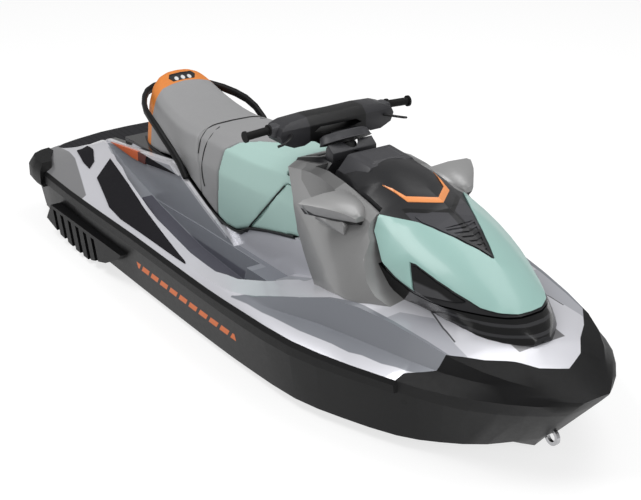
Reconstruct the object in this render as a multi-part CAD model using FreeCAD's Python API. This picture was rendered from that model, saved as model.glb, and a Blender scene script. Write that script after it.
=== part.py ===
import FreeCAD, Part
import math
import os

from FreeCAD import Placement, Rotation, Vector

os.makedirs("parts", exist_ok=True)
doc = FreeCAD.newDocument("watercraft")

# Driving sizes, in millimetres and degrees
SIZES = {
    "hull_length": 3300,
    "half_beam": 625,
    "hull_depth": 500,
    "moving_gap": 5,
    "pin_gap": 0.4,
    "overrun": 40,
    "panel_skin": 4,
    "shell_wall": 16,
    "rail_proud": 16,
    "rail_depth": 30,
    "mat_thickness": 6,
    "bar_radius": 11,
    "grip_radius": 16,
    "grip_flange": 23,
    "lever_radius": 5,
    "column_radius": 46,
    "handle_radius": 13,
    "pump_outer": 92,
    "pump_bore": 80,
    "hub_radius": 26,
    "shaft_radius": 11,
    "nozzle_mouth": 72,
    "nozzle_exit": 44,
    "nozzle_wall": 6,
    "pivot_radius": 8,
    "bucket_radius": 160,
    "bucket_wall": 8,
    "bucket_half_width": 128,
    "recess_half_width": 142,
    "engine_length": 560,
    "engine_width": 320,
    "engine_height": 290,
    "eye_radius": 26,
    "eye_rod": 7,
    "plug_radius": 14,
    "slat_width": 7,
    "slat_pitch": 22,
    "hinge_rod": 5,
    "hinge_barrel": 9,
    "seat_gap": 0.3,
    "vane_thickness": 5,
    "column_rise": 45,
    "steer_pin": 13,
    "steer_pin_length": 46,
    "steer_hub_length": 58,
}
sheet = doc.addObject("Spreadsheet::Sheet", "Sizes")
for row, (alias, size) in enumerate(SIZES.items(), start=1):
    sheet.set(f"A{row}", alias)
    sheet.set(f"B{row}", str(size))
    sheet.setAlias(f"B{row}", alias)
doc.recompute()


def size(alias):
    return float(sheet.get(alias))


# The offsets of the craft are shares: 330 steps along the length from the
# stern corners, 62.5 steps out to the half beam, 50 steps up the depth
LENGTH_STEPS = 330
BEAM_STEPS = 62.5
DEPTH_STEPS = 50
MIDSHIP_SHARE = 165
DRAUGHT_SHARE = 17

step_x = size("hull_length") / LENGTH_STEPS
step_y = size("half_beam") / BEAM_STEPS
step_z = size("hull_depth") / DEPTH_STEPS
moving_gap = size("moving_gap")
overrun = size("overrun")
skin = size("panel_skin")
wall = size("shell_wall")
ORIGIN = Vector(0, 0, 0)
TUBE_CORNERS = 10
ROUND_CORNERS = 24
X_AXIS = Vector(1, 0, 0)
Y_AXIS = Vector(0, 1, 0)
Z_AXIS = Vector(0, 0, 1)


def along(share):
    return (share - MIDSHIP_SHARE) * step_x


def across(share):
    return share * step_y


def height(share):
    return (share - DRAUGHT_SHARE) * step_z


def spot(x, y, z):
    return Vector(along(x), across(y), height(z))


def flat_face(points):
    return Part.Face(Part.makePolygon(list(points) + list(points[:1])))


def loft(sections):
    """A solid whose skin is of flat facets between rings with one number of points."""
    faces = [flat_face(sections[0]), flat_face(sections[-1])]
    for ring, following in zip(sections, sections[1:]):
        for n in range(len(ring)):
            a, b, c, d = ring[n - 1], ring[n], following[n], following[n - 1]
            if (c - a).Length < (d - b).Length:
                faces += [flat_face((a, b, c)), flat_face((a, c, d))]
            else:
                faces += [flat_face((a, b, d)), flat_face((b, c, d))]
    solid = Part.Solid(Part.Shell(faces)).removeSplitter()
    if solid.Volume < 0:
        solid.reverse()
    return solid


NEAR_WEIGHT = 9 / 16
FAR_WEIGHT = 1 / 16


def fair(sections):
    """A loft with one more section between each two, on a smooth curve through them."""
    last = len(sections) - 1
    rings = []
    for n in range(last):
        before, here, after, beyond = [sections[min(max(n + k, 0), last)] for k in (-1, 0, 1, 2)]
        between = []
        for a, b, c, d in zip(before, here, after, beyond):
            between.append((b + c) * NEAR_WEIGHT - (a + d) * FAR_WEIGHT)
        rings += [here, between]
    return loft(rings + sections[-1:])


def side_prism(outline_share, y_from, y_to):
    """A side outline of (x, z) shares, extruded across the craft."""
    points = [spot(x, y_from, z) for x, z in outline_share]
    face = Part.Face(Part.makePolygon(points + points[:1]))
    return face.extrude(Y_AXIS * across(y_to - y_from))


def plan_prism(outline_share, z_from, z_to):
    """A plan outline of (x, y) shares, extruded upwards."""
    points = [spot(x, y, z_from) for x, y in outline_share]
    face = Part.Face(Part.makePolygon(points + points[:1]))
    return face.extrude(Z_AXIS * ((z_to - z_from) * step_z))


def mirrored(shape):
    return shape.mirror(ORIGIN, Y_AXIS)


def both_sides(shape):
    return Part.makeCompound([shape, mirrored(shape)])


def biggest(shape):
    return max(shape.Solids, key=lambda solid: solid.Volume)


def two_sided(outline_share):
    """Closes a plan outline given for port with its starboard mirror."""
    return list(outline_share) + [(x, -y) for x, y in reversed(outline_share) if y]


def tube(points, radius, depth, steps):
    """A bar of oval section along a curve: half width across it and half depth."""
    path = Part.BSplineCurve()
    path.interpolate(points)
    first, last = path.FirstParameter, path.LastParameter
    rings = []
    for step in range(steps + 1):
        at = first + (last - first) * step / steps
        heading = path.tangent(at)[0]
        side = heading.cross(Z_AXIS).normalize()
        rise = side.cross(heading)
        ring = []
        for corner in range(TUBE_CORNERS):
            turn = 2 * math.pi * corner / TUBE_CORNERS
            ring.append(path.value(at) + side * (radius * math.cos(turn)) + rise * (depth * math.sin(turn)))
        rings.append(ring)
    return loft(rings)


def faceted(start, end, start_radius, end_radius):
    """A round or tapered bar with flat sides between two points."""
    heading = (end - start).normalize()
    side = heading.cross(Y_AXIS if abs(heading.y) < abs(heading.z) + abs(heading.x) else Z_AXIS).normalize()
    rise = heading.cross(side)
    rings = []
    for centre, radius in ((start, start_radius), (end, end_radius)):
        ring = []
        for corner in range(ROUND_CORNERS):
            turn = 2 * math.pi * corner / ROUND_CORNERS
            ring.append(centre + side * (radius * math.cos(turn)) + rise * (radius * math.sin(turn)))
        rings.append(ring)
    return loft(rings)


def bar(start, end, radius):
    return faceted(start, end, radius, radius)


def rod(radius, length, foot, axis):
    return faceted(foot, foot + axis * length, radius, radius)


nodes = []


def keep(name, shape):
    feature = doc.addObject("Part::Feature", name)
    feature.Label = name
    feature.Shape = shape
    nodes.append(feature)
    return feature


# The outer form of hull and deck, one row a section from stern to bow:
# x at height 45, rake, keel, then (y, z) of chine, side, gunwale, strip,
# panel middle, ridge and inner edge, and the height on the centre line
FORM_SHARES = [
    (-14, 0, 0, (51, 19), (55.5, 38.5), (56.2, 43.5), (48, 47), (40, 47.2), (27, 47.4), (20, 47.4), 47.4),
    (4, 0, 0, (51.5, 19), (56, 38.5), (56.5, 43.5), (47.5, 47.5), (40, 47.6), (27, 48), (20, 47.6), 47.4),
    (16, 0, 0, (54, 19.5), (57.5, 39), (57.5, 44), (44, 49.8), (37, 50), (26, 52.3), (22, 50), 47.6),
    (27, 0, 0, (55.5, 20), (58.6, 39.2), (58, 44.3), (46, 49.5), (40, 51), (29.5, 55), (26, 55), 48),
    (50, 0, 0, (56.5, 20), (60, 39.5), (59.2, 44.7), (52.5, 48), (46.5, 50.5), (35.5, 54), (27, 57), 57),
    (80, 0, 0, (57, 20), (61, 40), (59.8, 45.2), (58, 47), (53.5, 49.5), (44.5, 52.5), (27, 58), 58),
    (115, 0, 0, (57.5, 20), (61.5, 41), (60.3, 46), (58.6, 47.6), (56, 49), (52.5, 50.2), (27, 50), 50),
    (150, 0, 0, (57.8, 20), (62, 41.5), (61, 46.3), (59.6, 47.4), (58.8, 47.8), (57.6, 48.4), (27, 48), 48),
    (180, 0, 0, (57.8, 20), (62.2, 41.7), (61.4, 46.5), (60.2, 47.8), (59.9, 48.2), (59.4, 48.8), (28, 49), 49),
    (205, 0, 0, (57.4, 20.3), (61.8, 42), (61, 47), (58.8, 49.6), (57.6, 50), (56, 51.6), (30, 52), 53),
    (235, 0.05, 1, (56.2, 21.3), (59.5, 42), (58.6, 46.8), (54.2, 49.4), (47, 50.6), (43, 60), (25, 61), 61),
    (261, 0.25, 3, (50, 21.5), (51.8, 42.5), (51.2, 46.5), (46.5, 48.8), (40.5, 50.8), (36.5, 60.5), (22, 61.5), 61.5),
    (288, 0.5, 8, (41.5, 22), (40.8, 42.5), (40.8, 46.5), (37, 49), (33, 51), (31, 57), (17, 59.5), 59.5),
    (305, 0.7, 9, (32, 22.3), (32, 43), (31.5, 47.5), (27.5, 50.5), (24.5, 52), (22, 54), (12, 55.5), 55.8),
    (319, 0.85, 12, (20, 23), (18.5, 43.5), (18.5, 47.8), (15, 49.8), (12, 50.5), (10, 51), (4.5, 51.6), 52),
    (327, 0.85, 17, (4, 25), (7, 44), (6.8, 48), (5.8, 49.6), (4.6, 49.8), (3.6, 49.9), (1.8, 50.1), 50.2),
]
RAKE_HEIGHT_SHARE = 45


def form_section(row, lift=0):
    x, rake, keel, *pairs, top = row
    half = [(0, keel), *pairs[:3], *[(y, z + lift) for y, z in pairs[3:]], (0, top + lift)]
    ring = half + [(-y, z) for y, z in reversed(half[1:-1])]
    return [spot(x + rake * (z - RAKE_HEIGHT_SHARE), y, z) for y, z in ring]


form = fair([form_section(row) for row in FORM_SHARES])
mat_lift = size("mat_thickness") / step_z
raised_form = fair([form_section(row, mat_lift) for row in FORM_SHARES[:10]])

# The stern is slightly bowed in plan
STERN_SHARES = [(-8, 0), (-7.4, 15), (-4.4, 30), (-0.4, 44), (2.4, 51), (6, 57), (14, 66)]
stern_plan = two_sided(STERN_SHARES[1:] + [(345, 66)]) + [STERN_SHARES[0]]
form = form.common(plan_prism(stern_plan, -5, 75))

# The joint between hull and deck follows the underside of the rub rail
SHEER_SHARES = [(-20, 38.5), (4, 38.5), (50, 39.5), (115, 41), (180, 41.6), (345, 41.6)]
above_sheer = side_prism(SHEER_SHARES + [(345, 80), (-20, 80)], -70, 70)
below_sheer = side_prism(SHEER_SHARES + [(345, -10), (-20, -10)], -70, 70)
hull_form = form.common(below_sheer)
deck_form = form.common(above_sheer)


# Rub rail along each gunwale
def rail_section(row):
    x, rake = row[:2]
    y, top = row[5]
    low = top - 7
    inner = y - size("rail_depth") / step_y
    outer = y + size("rail_proud") / step_y
    outline = [(inner, low), (outer - 0.4, low), (outer, low + 1.2), (outer, top - 1.5), (y + 0.3, top), (inner, top)]
    return [spot(x + rake * (z - RAKE_HEIGHT_SHARE), side, z) for side, z in outline]


RAIL_ROWS = FORM_SHARES[1:13]
rail_port = fair([rail_section(row) for row in RAIL_ROWS]).common(above_sheer)
RAIL_END_SHARES = [(4, 30), (281, 30), (277, 66), (4, 66)]
rail_port = biggest(rail_port.common(plan_prism(RAIL_END_SHARES, 30, 60)))
rails = both_sides(rail_port)

# Plan outline of the silver deck where the bow bumper begins
BOW_EDGE_SHARES = [
    (-20, 70), (276, 70), (279.4, 41.5), (290, 32), (300, 23), (306.5, 15), (312.5, 9.5), (317, 0),
]
deck_plan = plan_prism(two_sided(BOW_EDGE_SHARES), 30, 90)
bow_bumper = biggest(deck_form.cut(deck_plan).cut(rails))
deck_form = deck_form.common(deck_plan).cut(rails)

# Bumpers round the stern corners, their faces drawn in above and below
CORNER_SHARES = [(-2.6, 46), (-1.6, 51.5), (1.8, 57.5), (6, 60.3), (13, 61.3), (21, 61.2), (21, 55), (10, 50), (4, 46)]
CORNER_CENTRE_SHARE = (10, 50)
CORNER_LEVEL_SHARES = [(36, 0.84), (38.5, 1), (44.5, 1), (48, 0.78)]


def corner_section(z, spread):
    x0, y0 = CORNER_CENTRE_SHARE
    return [spot(x0 + spread * (x - x0), y0 + spread * (y - y0), z) for x, y in CORNER_SHARES]


corner_port = loft([corner_section(*level) for level in CORNER_LEVEL_SHARES])
corner_port = biggest(corner_port.cut(form).cut(rail_port))
stern_bumpers = both_sides(corner_port)

# Foot wells, one cutter a side: outer top, outer floor, inner floor, inner top
WELL_SHARES = [
    (25.5, (28.6, 58), (27.9, 54.3), (27.2, 54.3), (26.8, 58)),
    (40, (32.5, 59), (30.5, 48.5), (26.6, 48.5), (26.4, 59)),
    (60, (38.6, 59), (32.5, 43), (26.4, 43), (26.2, 60)),
    (80, (45, 59), (34.5, 38), (26.2, 38), (26, 60)),
    (115, (53.2, 59), (38, 31), (26, 31), (26, 60)),
    (150, (58, 59), (41, 28.5), (26, 28.5), (26, 60)),
    (172, (59.2, 60), (42, 28.5), (26, 28.5), (26, 60)),
    (184, (58, 62), (41, 35), (26, 35), (26, 62)),
    (195, (49, 64), (38, 45), (26, 45), (26, 64)),
    (206, (32, 66), (30, 53), (26.5, 53), (26.2, 66)),
]


def well_section(row, inset=0):
    x, (y1, z1), (y2, z2), (y3, z3), (y4, z4) = row
    ring = [(y1 - inset, z1), (y2 - inset, z2 + inset), (y3 + inset, z3 + inset), (y4 + inset, z4)]
    return [spot(x, y, z) for y, z in ring]


liner_share = skin / step_z
well_port = loft([well_section(row) for row in WELL_SHARES])
well_room = loft([well_section(row, liner_share) for row in WELL_SHARES[1:-2]])
SHELF_SHARES = [(158, 25), (163, 41), (182, 43.5), (208, 52), (208, 25)]
well_port = biggest(well_port.cut(side_prism(SHELF_SHARES, 24, 33)))
wells = both_sides(well_port)
shelf_room = side_prism([(x - liner_share, z + liner_share) for x, z in SHELF_SHARES], 24, 33)
well_room = well_room.cut(shelf_room)

# Seat pedestal: a ledge each side, and a narrower block up to the seat
LEDGE_SHARES = [(25, 55.6), (60, 59.8), (84, 63.2), (89, 64), (100, 58.5), (116, 51.5), (137, 43.5), (160, 30)]
ledge = side_prism(LEDGE_SHARES + [(160, 20), (25, 20)], -27.6, 27.6)
SEAT_LINE_SHARES = [(38, 60), (88, 61.2), (111, 52), (131, 47), (139, 47.6), (150, 52.5), (184, 60.5), (200, 62)]
pedestal = side_prism(SEAT_LINE_SHARES + [(200, 42), (38, 42)], -23.5, 23.5)
above_seat_line = side_prism(SEAT_LINE_SHARES + [(200, 110), (20, 110), (20, 60)], -40, 40)
over_ledge = side_prism(LEDGE_SHARES + [(184, 30), (184, 70), (25, 70)], 23.5, 40)
TOE_SHARES = [(182, 43.5), (208, 52), (208, 70), (182, 70)]
over_ledge = over_ledge.fuse(side_prism(TOE_SHARES, 23.5, 26.3))
over_ledges = both_sides(over_ledge)

# Storage well below the hood, engine bay, pump tunnel and its intake
BIN_SHARES = [(226, 16), (282, 10)]
BIN_FLOOR_SHARE = 46
bin_cut = plan_prism(two_sided(BIN_SHARES), BIN_FLOOR_SHARE, 90)
ENGINE_X_SHARE = 124
ENGINE_Z_SHARE = 13
engine_corner = Vector(
    along(ENGINE_X_SHARE) - size("engine_length") / 2, -size("engine_width") / 2, height(ENGINE_Z_SHARE)
)
bay_gap = Vector(2 * moving_gap, 2 * moving_gap, 0)
engine_bay = Part.makeBox(
    size("engine_length") + 2 * bay_gap.x,
    size("engine_width") + 2 * bay_gap.y,
    size("engine_height") + bay_gap.x,
    engine_corner - bay_gap,
)
PUMP_X_SHARE = 36
PUMP_Z_SHARE = 17
pump_centre = spot(PUMP_X_SHARE, 0, PUMP_Z_SHARE)
RECESS_SHARES = [(-30, -6), (-30, 39.5), (36, 39.5), (36, -6)]
recess_half = size("recess_half_width") / step_y
recess = side_prism(RECESS_SHARES, -recess_half, recess_half)
tunnel = rod(size("pump_outer"), along(64) - along(PUMP_X_SHARE), pump_centre, X_AXIS)
INTAKE_SHARES = [(62, 6), (62, 26), (71, 26.2), (88, 13), (106, -4), (62, -4)]
INTAKE_HALF_SHARE = 8.4
intake = side_prism(INTAKE_SHARES, -INTAKE_HALF_SHARE, INTAKE_HALF_SHARE)

pivot_radius = size("pivot_radius")
bore_radius = pivot_radius + size("pin_gap")
BUCKET_PIVOT_SHARE = (25, 17)
bucket_centre = spot(BUCKET_PIVOT_SHARE[0], 0, BUCKET_PIVOT_SHARE[1])
pivot_reach = size("recess_half_width") + 4 * moving_gap
bucket_bore = rod(bore_radius, 2 * pivot_reach, bucket_centre - Y_AXIS * pivot_reach, Y_AXIS)

SHAFT_END_SHARE = 86
shaft_radius = size("shaft_radius")
running_gap = size("pin_gap")
shaft_bore = rod(shaft_radius + running_gap, along(SHAFT_END_SHARE + 0.5) - pump_centre.x, pump_centre, X_AXIS)

hull = hull_form.cut(wells).cut(engine_bay).cut(recess).cut(tunnel).cut(intake).cut(bucket_bore).cut(shaft_bore)
hull = biggest(hull)

# Mat of the stern platform, let into the deck, with the pads of the bolsters
MAT_SHARES = [(-7.2, 15), (-4.2, 30), (-1.8, 38), (0.8, 42), (4.6, 41), (7.5, 38.4), (13, 30), (23, 22.6), (37.5, 22)]
MAT_REAR_SHARE = (-7.8, 0)
MAT_FLOOR_SHARE = 47
mat_plan = two_sided(MAT_SHARES) + [MAT_REAR_SHARE]
platform_mat = plan_prism(mat_plan, MAT_FLOOR_SHARE, MAT_FLOOR_SHARE + mat_lift)
platform_cut = plan_prism(mat_plan, MAT_FLOOR_SHARE, 80)

deck = deck_form.fuse(ledge.common(above_sheer)).cut(over_ledges).fuse(pedestal.common(above_sheer))
SEAT_ROOM_SHARE = 23.9
seat_room = side_prism(SEAT_LINE_SHARES + [(200, 110), (20, 110), (20, 60)], -SEAT_ROOM_SHARE, SEAT_ROOM_SHARE)
deck = deck.cut(wells).cut(engine_bay).cut(recess).cut(bin_cut).cut(platform_cut).cut(seat_room)
deck = biggest(deck)

LONG_PAD_SHARES = [(46, 36), (57, 48.5), (86, 57), (100, 58.6), (158, 59), (157, 58.4), (104, 48.7), (75, 42.4)]
SMALL_PAD_SHARES = [(19, 40.5), (18, 34.5), (28, 36), (40, 41.5), (44, 46), (34, 44.5)]
pads = []
for outline_share in (LONG_PAD_SHARES, SMALL_PAD_SHARES):
    pad = biggest(raised_form.common(plan_prism(outline_share, 40, 60)).cut(form).cut(rail_port))
    pads += [pad, mirrored(pad)]
bolster_pads = Part.makeCompound(pads)

# Floor mats of the foot wells
FLOOR_SHARES = [(70, 27.4), (70, 32.4), (113, 36.8), (150, 39.6), (156, 39.8), (156, 27.4)]
floor_layer = well_room.cut(well_room.translated(Z_AXIS * size("mat_thickness")))
foot_mats = both_sides(biggest(floor_layer.common(plan_prism(FLOOR_SHARES, 20, 50))))

# Liners of the foot wells, up to the joint of hull and deck
liner = biggest(well_port.common(below_sheer).cut(well_room))
liners = both_sides(liner)

# Orange accent and dark vent on the inner wall of each foot well
ACCENT_SHARES = [(29, 55.4), (66, 60), (64, 54.8), (52, 54.2)]
VENT_SHARES = [(63.5, 58.4), (82, 61.4), (93, 59), (66, 55.6)]
ACCENT_DEPTH_SHARES = (25.4, 27.2)
accents = both_sides(biggest(side_prism(ACCENT_SHARES, *ACCENT_DEPTH_SHARES).cut(deck)))
vents = both_sides(biggest(side_prism(VENT_SHARES, *ACCENT_DEPTH_SHARES).cut(deck).cut(accents)))

keep("hull", hull)
keep("deck", deck)
keep("rub_rails", rails)
keep("bow_bumper", bow_bumper)
keep("stern_bumpers", stern_bumpers)
keep("platform_mat", platform_mat)
keep("bolster_pads", bolster_pads)
keep("foot_mats", foot_mats)
keep("footwell_liners", liners)
keep("accent_panels", accents)
keep("vent_panels", vents)


# Front form of hood and fascia: half sections from top centre to base
FRONT_SHARES = [
    (192, (0, 91), (6, 91), (11, 89.5), (13, 84), (14, 77)),
    (210, (0, 98), (8, 97), (15, 93), (18, 86), (20, 76)),
    (226, (0, 97), (10, 95.5), (18.5, 89.5), (23, 80), (25, 68)),
    (246, (0, 92), (12, 87.5), (21.5, 82.5), (26, 74), (25, 62)),
    (262, (0, 86), (12, 82.5), (20.5, 77.5), (24.5, 69), (21, 61)),
    (276, (0, 79.8), (9.5, 78.3), (17, 73.5), (21.5, 66.5), (19.5, 60)),
    (289, (0, 73), (7, 71.8), (12.2, 69.2), (15.5, 65), (17.5, 59.5)),
    (297, (0, 67.3), (4.8, 67), (7.8, 65.8), (11, 62.5), (13, 58.5)),
    (303.5, (0, 60.5), (1.8, 60.4), (2.8, 60), (3.6, 59.5), (4.4, 58)),
]
FRONT_BASE_SHARE = 52


def front_section(row, grow=0):
    x, *half = row
    half = [(y + grow * (y > 0), z + grow) for y, z in half]
    half.append((half[-1][0], FRONT_BASE_SHARE))
    ring = half + [(0, FRONT_BASE_SHARE)] + [(-y, z) for y, z in reversed(half[1:])]
    return [spot(x, y, z) for y, z in ring]


def front_form(grow=0):
    return fair([front_section(row, grow) for row in FRONT_SHARES])


def centred(outline_share):
    """Closes a plan outline whose first and last points are on the centre line."""
    return list(outline_share) + [(x, -y) for x, y in reversed(outline_share[1:-1])]


front = front_form()
front_skin = front_form(skin / step_z)
front_core = front_form(-wall / step_z)
gap_share = moving_gap / step_z

# The hood is narrow between the mirrors and full width ahead of them
HOOD_LINE_SHARES = [(197, 88), (212, 84), (226, 78), (246, 72), (262, 67), (276, 67), (310, 67)]
above_hood_line = side_prism(HOOD_LINE_SHARES + [(310, 110), (197, 110)], -40, 40)
HOOD_HALF_SHARE = 17.2
HOOD_EDGE_SHARES = [(233, 110), (233, 90), (236.5, 82), (247, 73.6), (250, 66), (320, 66), (320, 110)]
HOOD_SPAN_SHARES = [(180, 50), (180, 110), (320, 110), (320, 50)]
FASCIA_LINE_SHARES = [(x, z - gap_share) for x, z in HOOD_LINE_SHARES]


def hood_zone(gap):
    """Room of the hood: a strip between the fairings, then the full width ahead of their edge."""
    half = HOOD_HALF_SHARE + gap
    edge = [(x - gap, z - gap) for x, z in HOOD_EDGE_SHARES]
    return side_prism(HOOD_SPAN_SHARES, -half, half).fuse(side_prism(edge, -40, 40))


ROOM_START_SHARES = [(191, 110), (191, 84.5), (200, 84.5)]
hood_room = side_prism(ROOM_START_SHARES + FASCIA_LINE_SHARES[1:] + [(310, 110)], -40, 40).common(hood_zone(gap_share))
below_fascia_line = side_prism(FASCIA_LINE_SHARES + [(310, 40), (197, 40)], -40, 40)
FASCIA_START_SHARES = [(226, -40), (310, -40), (310, 40), (226, 40)]
fascia = front.common(below_fascia_line).cut(front_core).cut(deck).common(plan_prism(FASCIA_START_SHARES, 40, 90))
fascia = biggest(fascia)

# Hood hinge: a rod on the console bracket, barrels on the hood
HINGE_SHARE = (197.9, 90)
HINGE_REACH_SHARE = 9.4
BARREL_SHARES = (5, 9)
BRACKET_SHARE = 4.2
hinge_centre = spot(HINGE_SHARE[0], 0, HINGE_SHARE[1])
hinge_rod = size("hinge_rod")
barrel_radius = size("hinge_barrel")


def hinge_part(radius, y_from, y_to):
    foot = hinge_centre + Y_AXIS * across(y_from)
    return rod(radius, across(y_to - y_from), foot, Y_AXIS)


barrel_rise_share = barrel_radius / step_z
hinge_x, hinge_z = HINGE_SHARE
barrel_start, barrel_end = BARREL_SHARES
barrel_web = side_prism(
    [
        (hinge_x - barrel_rise_share, hinge_z), (hinge_x - barrel_rise_share, hinge_z + 2.6),
        (hinge_x + barrel_rise_share, hinge_z + 2.6), (hinge_x + barrel_rise_share, hinge_z),
    ],
    barrel_start, barrel_end,
)
barrel = hinge_part(barrel_radius, barrel_start, barrel_end).fuse(barrel_web)
barrels = barrel.fuse(mirrored(barrel)).cut(hinge_part(hinge_rod + running_gap, -12, 12))
bracket = side_prism(
    [
        (190, hinge_z - barrel_rise_share), (190, hinge_z + barrel_rise_share),
        (hinge_x, hinge_z + barrel_rise_share), (hinge_x, hinge_z - barrel_rise_share),
    ],
    -BRACKET_SHARE, BRACKET_SHARE,
)
bracket = bracket.fuse(hinge_part(barrel_radius, -BRACKET_SHARE, BRACKET_SHARE))
bracket = bracket.fuse(hinge_part(hinge_rod, -HINGE_REACH_SHARE, HINGE_REACH_SHARE))
NOTCH_SHARES = [(190, 80), (190, 100), (200, 100), (200, 80)]
hood_notch = side_prism(NOTCH_SHARES, -BRACKET_SHARE - gap_share, BRACKET_SHARE + gap_share)
hood = front.common(above_hood_line).common(hood_zone(0)).cut(front_core).cut(hood_notch)
rod_room = hinge_part(barrel_radius + moving_gap, -HINGE_REACH_SHARE - gap_share, HINGE_REACH_SHARE + gap_share)
hood = biggest(hood.cut(rod_room).fuse(barrels))

# Painted cover over the front of the hood, notched for the lamps
COVER_SHARES = [(230, 40), (233, 21), (249, 12.2), (262, 6.6), (276, 0.6), (276.4, 0)]
COVER_SIDE_SHARES = [
    (234.6, 90), (236.5, 82), (247, 73.6), (256, 70), (262.5, 68.5), (257, 77.2), (260, 77.2), (283, 70.4),
    (287, 69), (297, 67.8), (310, 67.8), (310, 110), (234.6, 110),
]
cover_front = COVER_SHARES + [(x, -y) for x, y in reversed(COVER_SHARES[:-1])] + [(310, -40), (310, 40)]
skin_shell = front_skin.cut(front)
cover = skin_shell.common(plan_prism(cover_front, 40, 110)).common(side_prism(COVER_SIDE_SHARES, -40, 40))
cover = biggest(cover)

# Lamp inserts in the notches of the cover
LAMP_SHARES = [(258.5, 76.3), (260.5, 76.3), (281.5, 69.9), (279, 69.2), (263.6, 68.2)]
lamp_port = biggest(skin_shell.common(side_prism(LAMP_SHARES, 5, 40)).cut(cover))
lamps = both_sides(lamp_port)

# Grille of the hood: a frame with slats that lean forward
GRILLE_SHARES = [(251, 0), (246, 11.6), (249.5, 11.2), (262, 5.8), (275.6, 0)]
GRILLE_HOLE_SHARES = [(259, 0), (256.5, 7.2), (262, 4.6), (273, 0)]
grille_shell = skin_shell.common(plan_prism(centred(GRILLE_SHARES), 60, 110))
grille_hole = plan_prism(centred(GRILLE_HOLE_SHARES), 60, 110)
SLAT_COUNT = 7
SLAT_START_SHARE = 274
SLAT_SWEEP_SHARE = 6
SLAT_REACH_SHARE = 12
slat_width_share = size("slat_width") / step_x
slat_pitch_share = size("slat_pitch") / step_x
slats = []
for n in range(SLAT_COUNT):
    fore = SLAT_START_SHARE - n * slat_pitch_share
    rear = fore - slat_width_share
    chevron = [(rear, 0), (rear - SLAT_SWEEP_SHARE, SLAT_REACH_SHARE), (fore - SLAT_SWEEP_SHARE, SLAT_REACH_SHARE), (fore, 0)]
    slats.append(plan_prism(centred(chevron), 60, 110))
open_hole = grille_hole.cut(Part.makeCompound(slats))
grille = biggest(grille_shell.cut(open_hole).cut(cover))

# Orange stripe: a V on the black top
STRIPE_SHARES = [(247.6, 0), (239, 9.8), (226.5, 12), (236.8, 8.8), (244.6, 0)]
half_skin = front_form(0.5 * skin / step_z).cut(front)
stripe = biggest(half_skin.common(plan_prism(centred(STRIPE_SHARES), 60, 110)))

# Side fairings: rows of x, foot y, middle y, shoulder y and z
FAIRING_SHARES = [
    (168, 22, 21, 18.5, 85),
    (185, 25, 24, 20.5, 89),
    (200, 29, 27, 22, 91),
    (218, 34, 30, 23, 88.5),
    (235, 38.5, 31.5, 23.5, 84.5),
    (247, 37, 30.5, 22.5, 80),
    (262, 25, 24, 18, 74),
]
FAIRING_FOOT_SHARE = 62
FAIRING_MIDDLE_SHARE = 74
FAIRING_SIDE_SHARES = [
    (172, 88), (182.5, 77), (190, 66), (198, 61.5), (207, 57.5), (216, 54), (224, 50), (262, 50), (257, 61),
    (251, 64), (246, 69), (241, 75), (237, 82), (232, 88), (224, 97), (172, 97),
]


def fairing_section(row):
    x, foot, middle, shoulder, top = row
    ring = [
        (0, 48), (foot + 2.5, 48), (foot, FAIRING_FOOT_SHARE), (middle, FAIRING_MIDDLE_SHARE), (shoulder, top),
        (shoulder - 4, top + 1.5), (0, top + 2),
    ]
    return [spot(x, y, z) for y, z in ring]


# Console between the fairings, with the glove box and its lid
CONSOLE_SHARES = [
    (170.5, 88, 12.5, 16, 17.5),
    (180, 91, 12.5, 16.5, 18.5),
    (186, 92.5, 12, 16.5, 19),
    (192.5, 92, 11, 16, 19.5),
]
CONSOLE_BASE_SHARE = 48


def console_section(row):
    x, top, crown, shoulder, foot = row
    half = [(crown, top), (shoulder, top - 5), (foot, 74), (foot, CONSOLE_BASE_SHARE)]
    ring = half + [(-y, z) for y, z in reversed(half)]
    return [spot(x, y, z) for y, z in ring]


console = loft([console_section(row) for row in CONSOLE_SHARES])
FAIRING_INNER_SHARE = 12
fairing = fair([fairing_section(row) for row in FAIRING_SHARES])
fairing = fairing.common(side_prism(FAIRING_SIDE_SHARES, FAIRING_INNER_SHARE, 50))
fairing = fairing.cut(hood_room).cut(front_core).cut(console).cut(deck).cut(fascia)
fairing_port = biggest(fairing)
fairing_starboard = mirrored(fairing_port)

# Glove box: a hollow in the console under a lid hinged at its front edge
GLOVE_SHARES = [(173.2, 79), (173.2, 92), (179, 92), (179, 79)]
LID_SHARES = [(171.8, 87.2), (171.8, 88.6), (181, 91.4), (181, 90)]
LID_ROOM_SHARES = [(171.2, 86.5), (171.2, 110), (181.6, 110), (181.6, 89.6)]
LID_PIN_SHARE = (180.2, 90.1)
GLOVE_HALF_SHARE = 8.4
LID_HALF_SHARE = 9.2
LID_REACH_SHARE = 11
lid_seat = side_prism(LID_ROOM_SHARES, -LID_HALF_SHARE - gap_share, LID_HALF_SHARE + gap_share)
glove_hollow = side_prism(GLOVE_SHARES, -GLOVE_HALF_SHARE, GLOVE_HALF_SHARE)
lid_pin_foot = spot(LID_PIN_SHARE[0], -LID_REACH_SHARE, LID_PIN_SHARE[1])
lid_rod = rod(hinge_rod, across(2 * LID_REACH_SHARE), lid_pin_foot, Y_AXIS)
lid_bore = rod(hinge_rod + running_gap, across(2 * LID_REACH_SHARE), lid_pin_foot, Y_AXIS)
lid = side_prism(LID_SHARES, -LID_HALF_SHARE, LID_HALF_SHARE).fuse(lid_rod)

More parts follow.
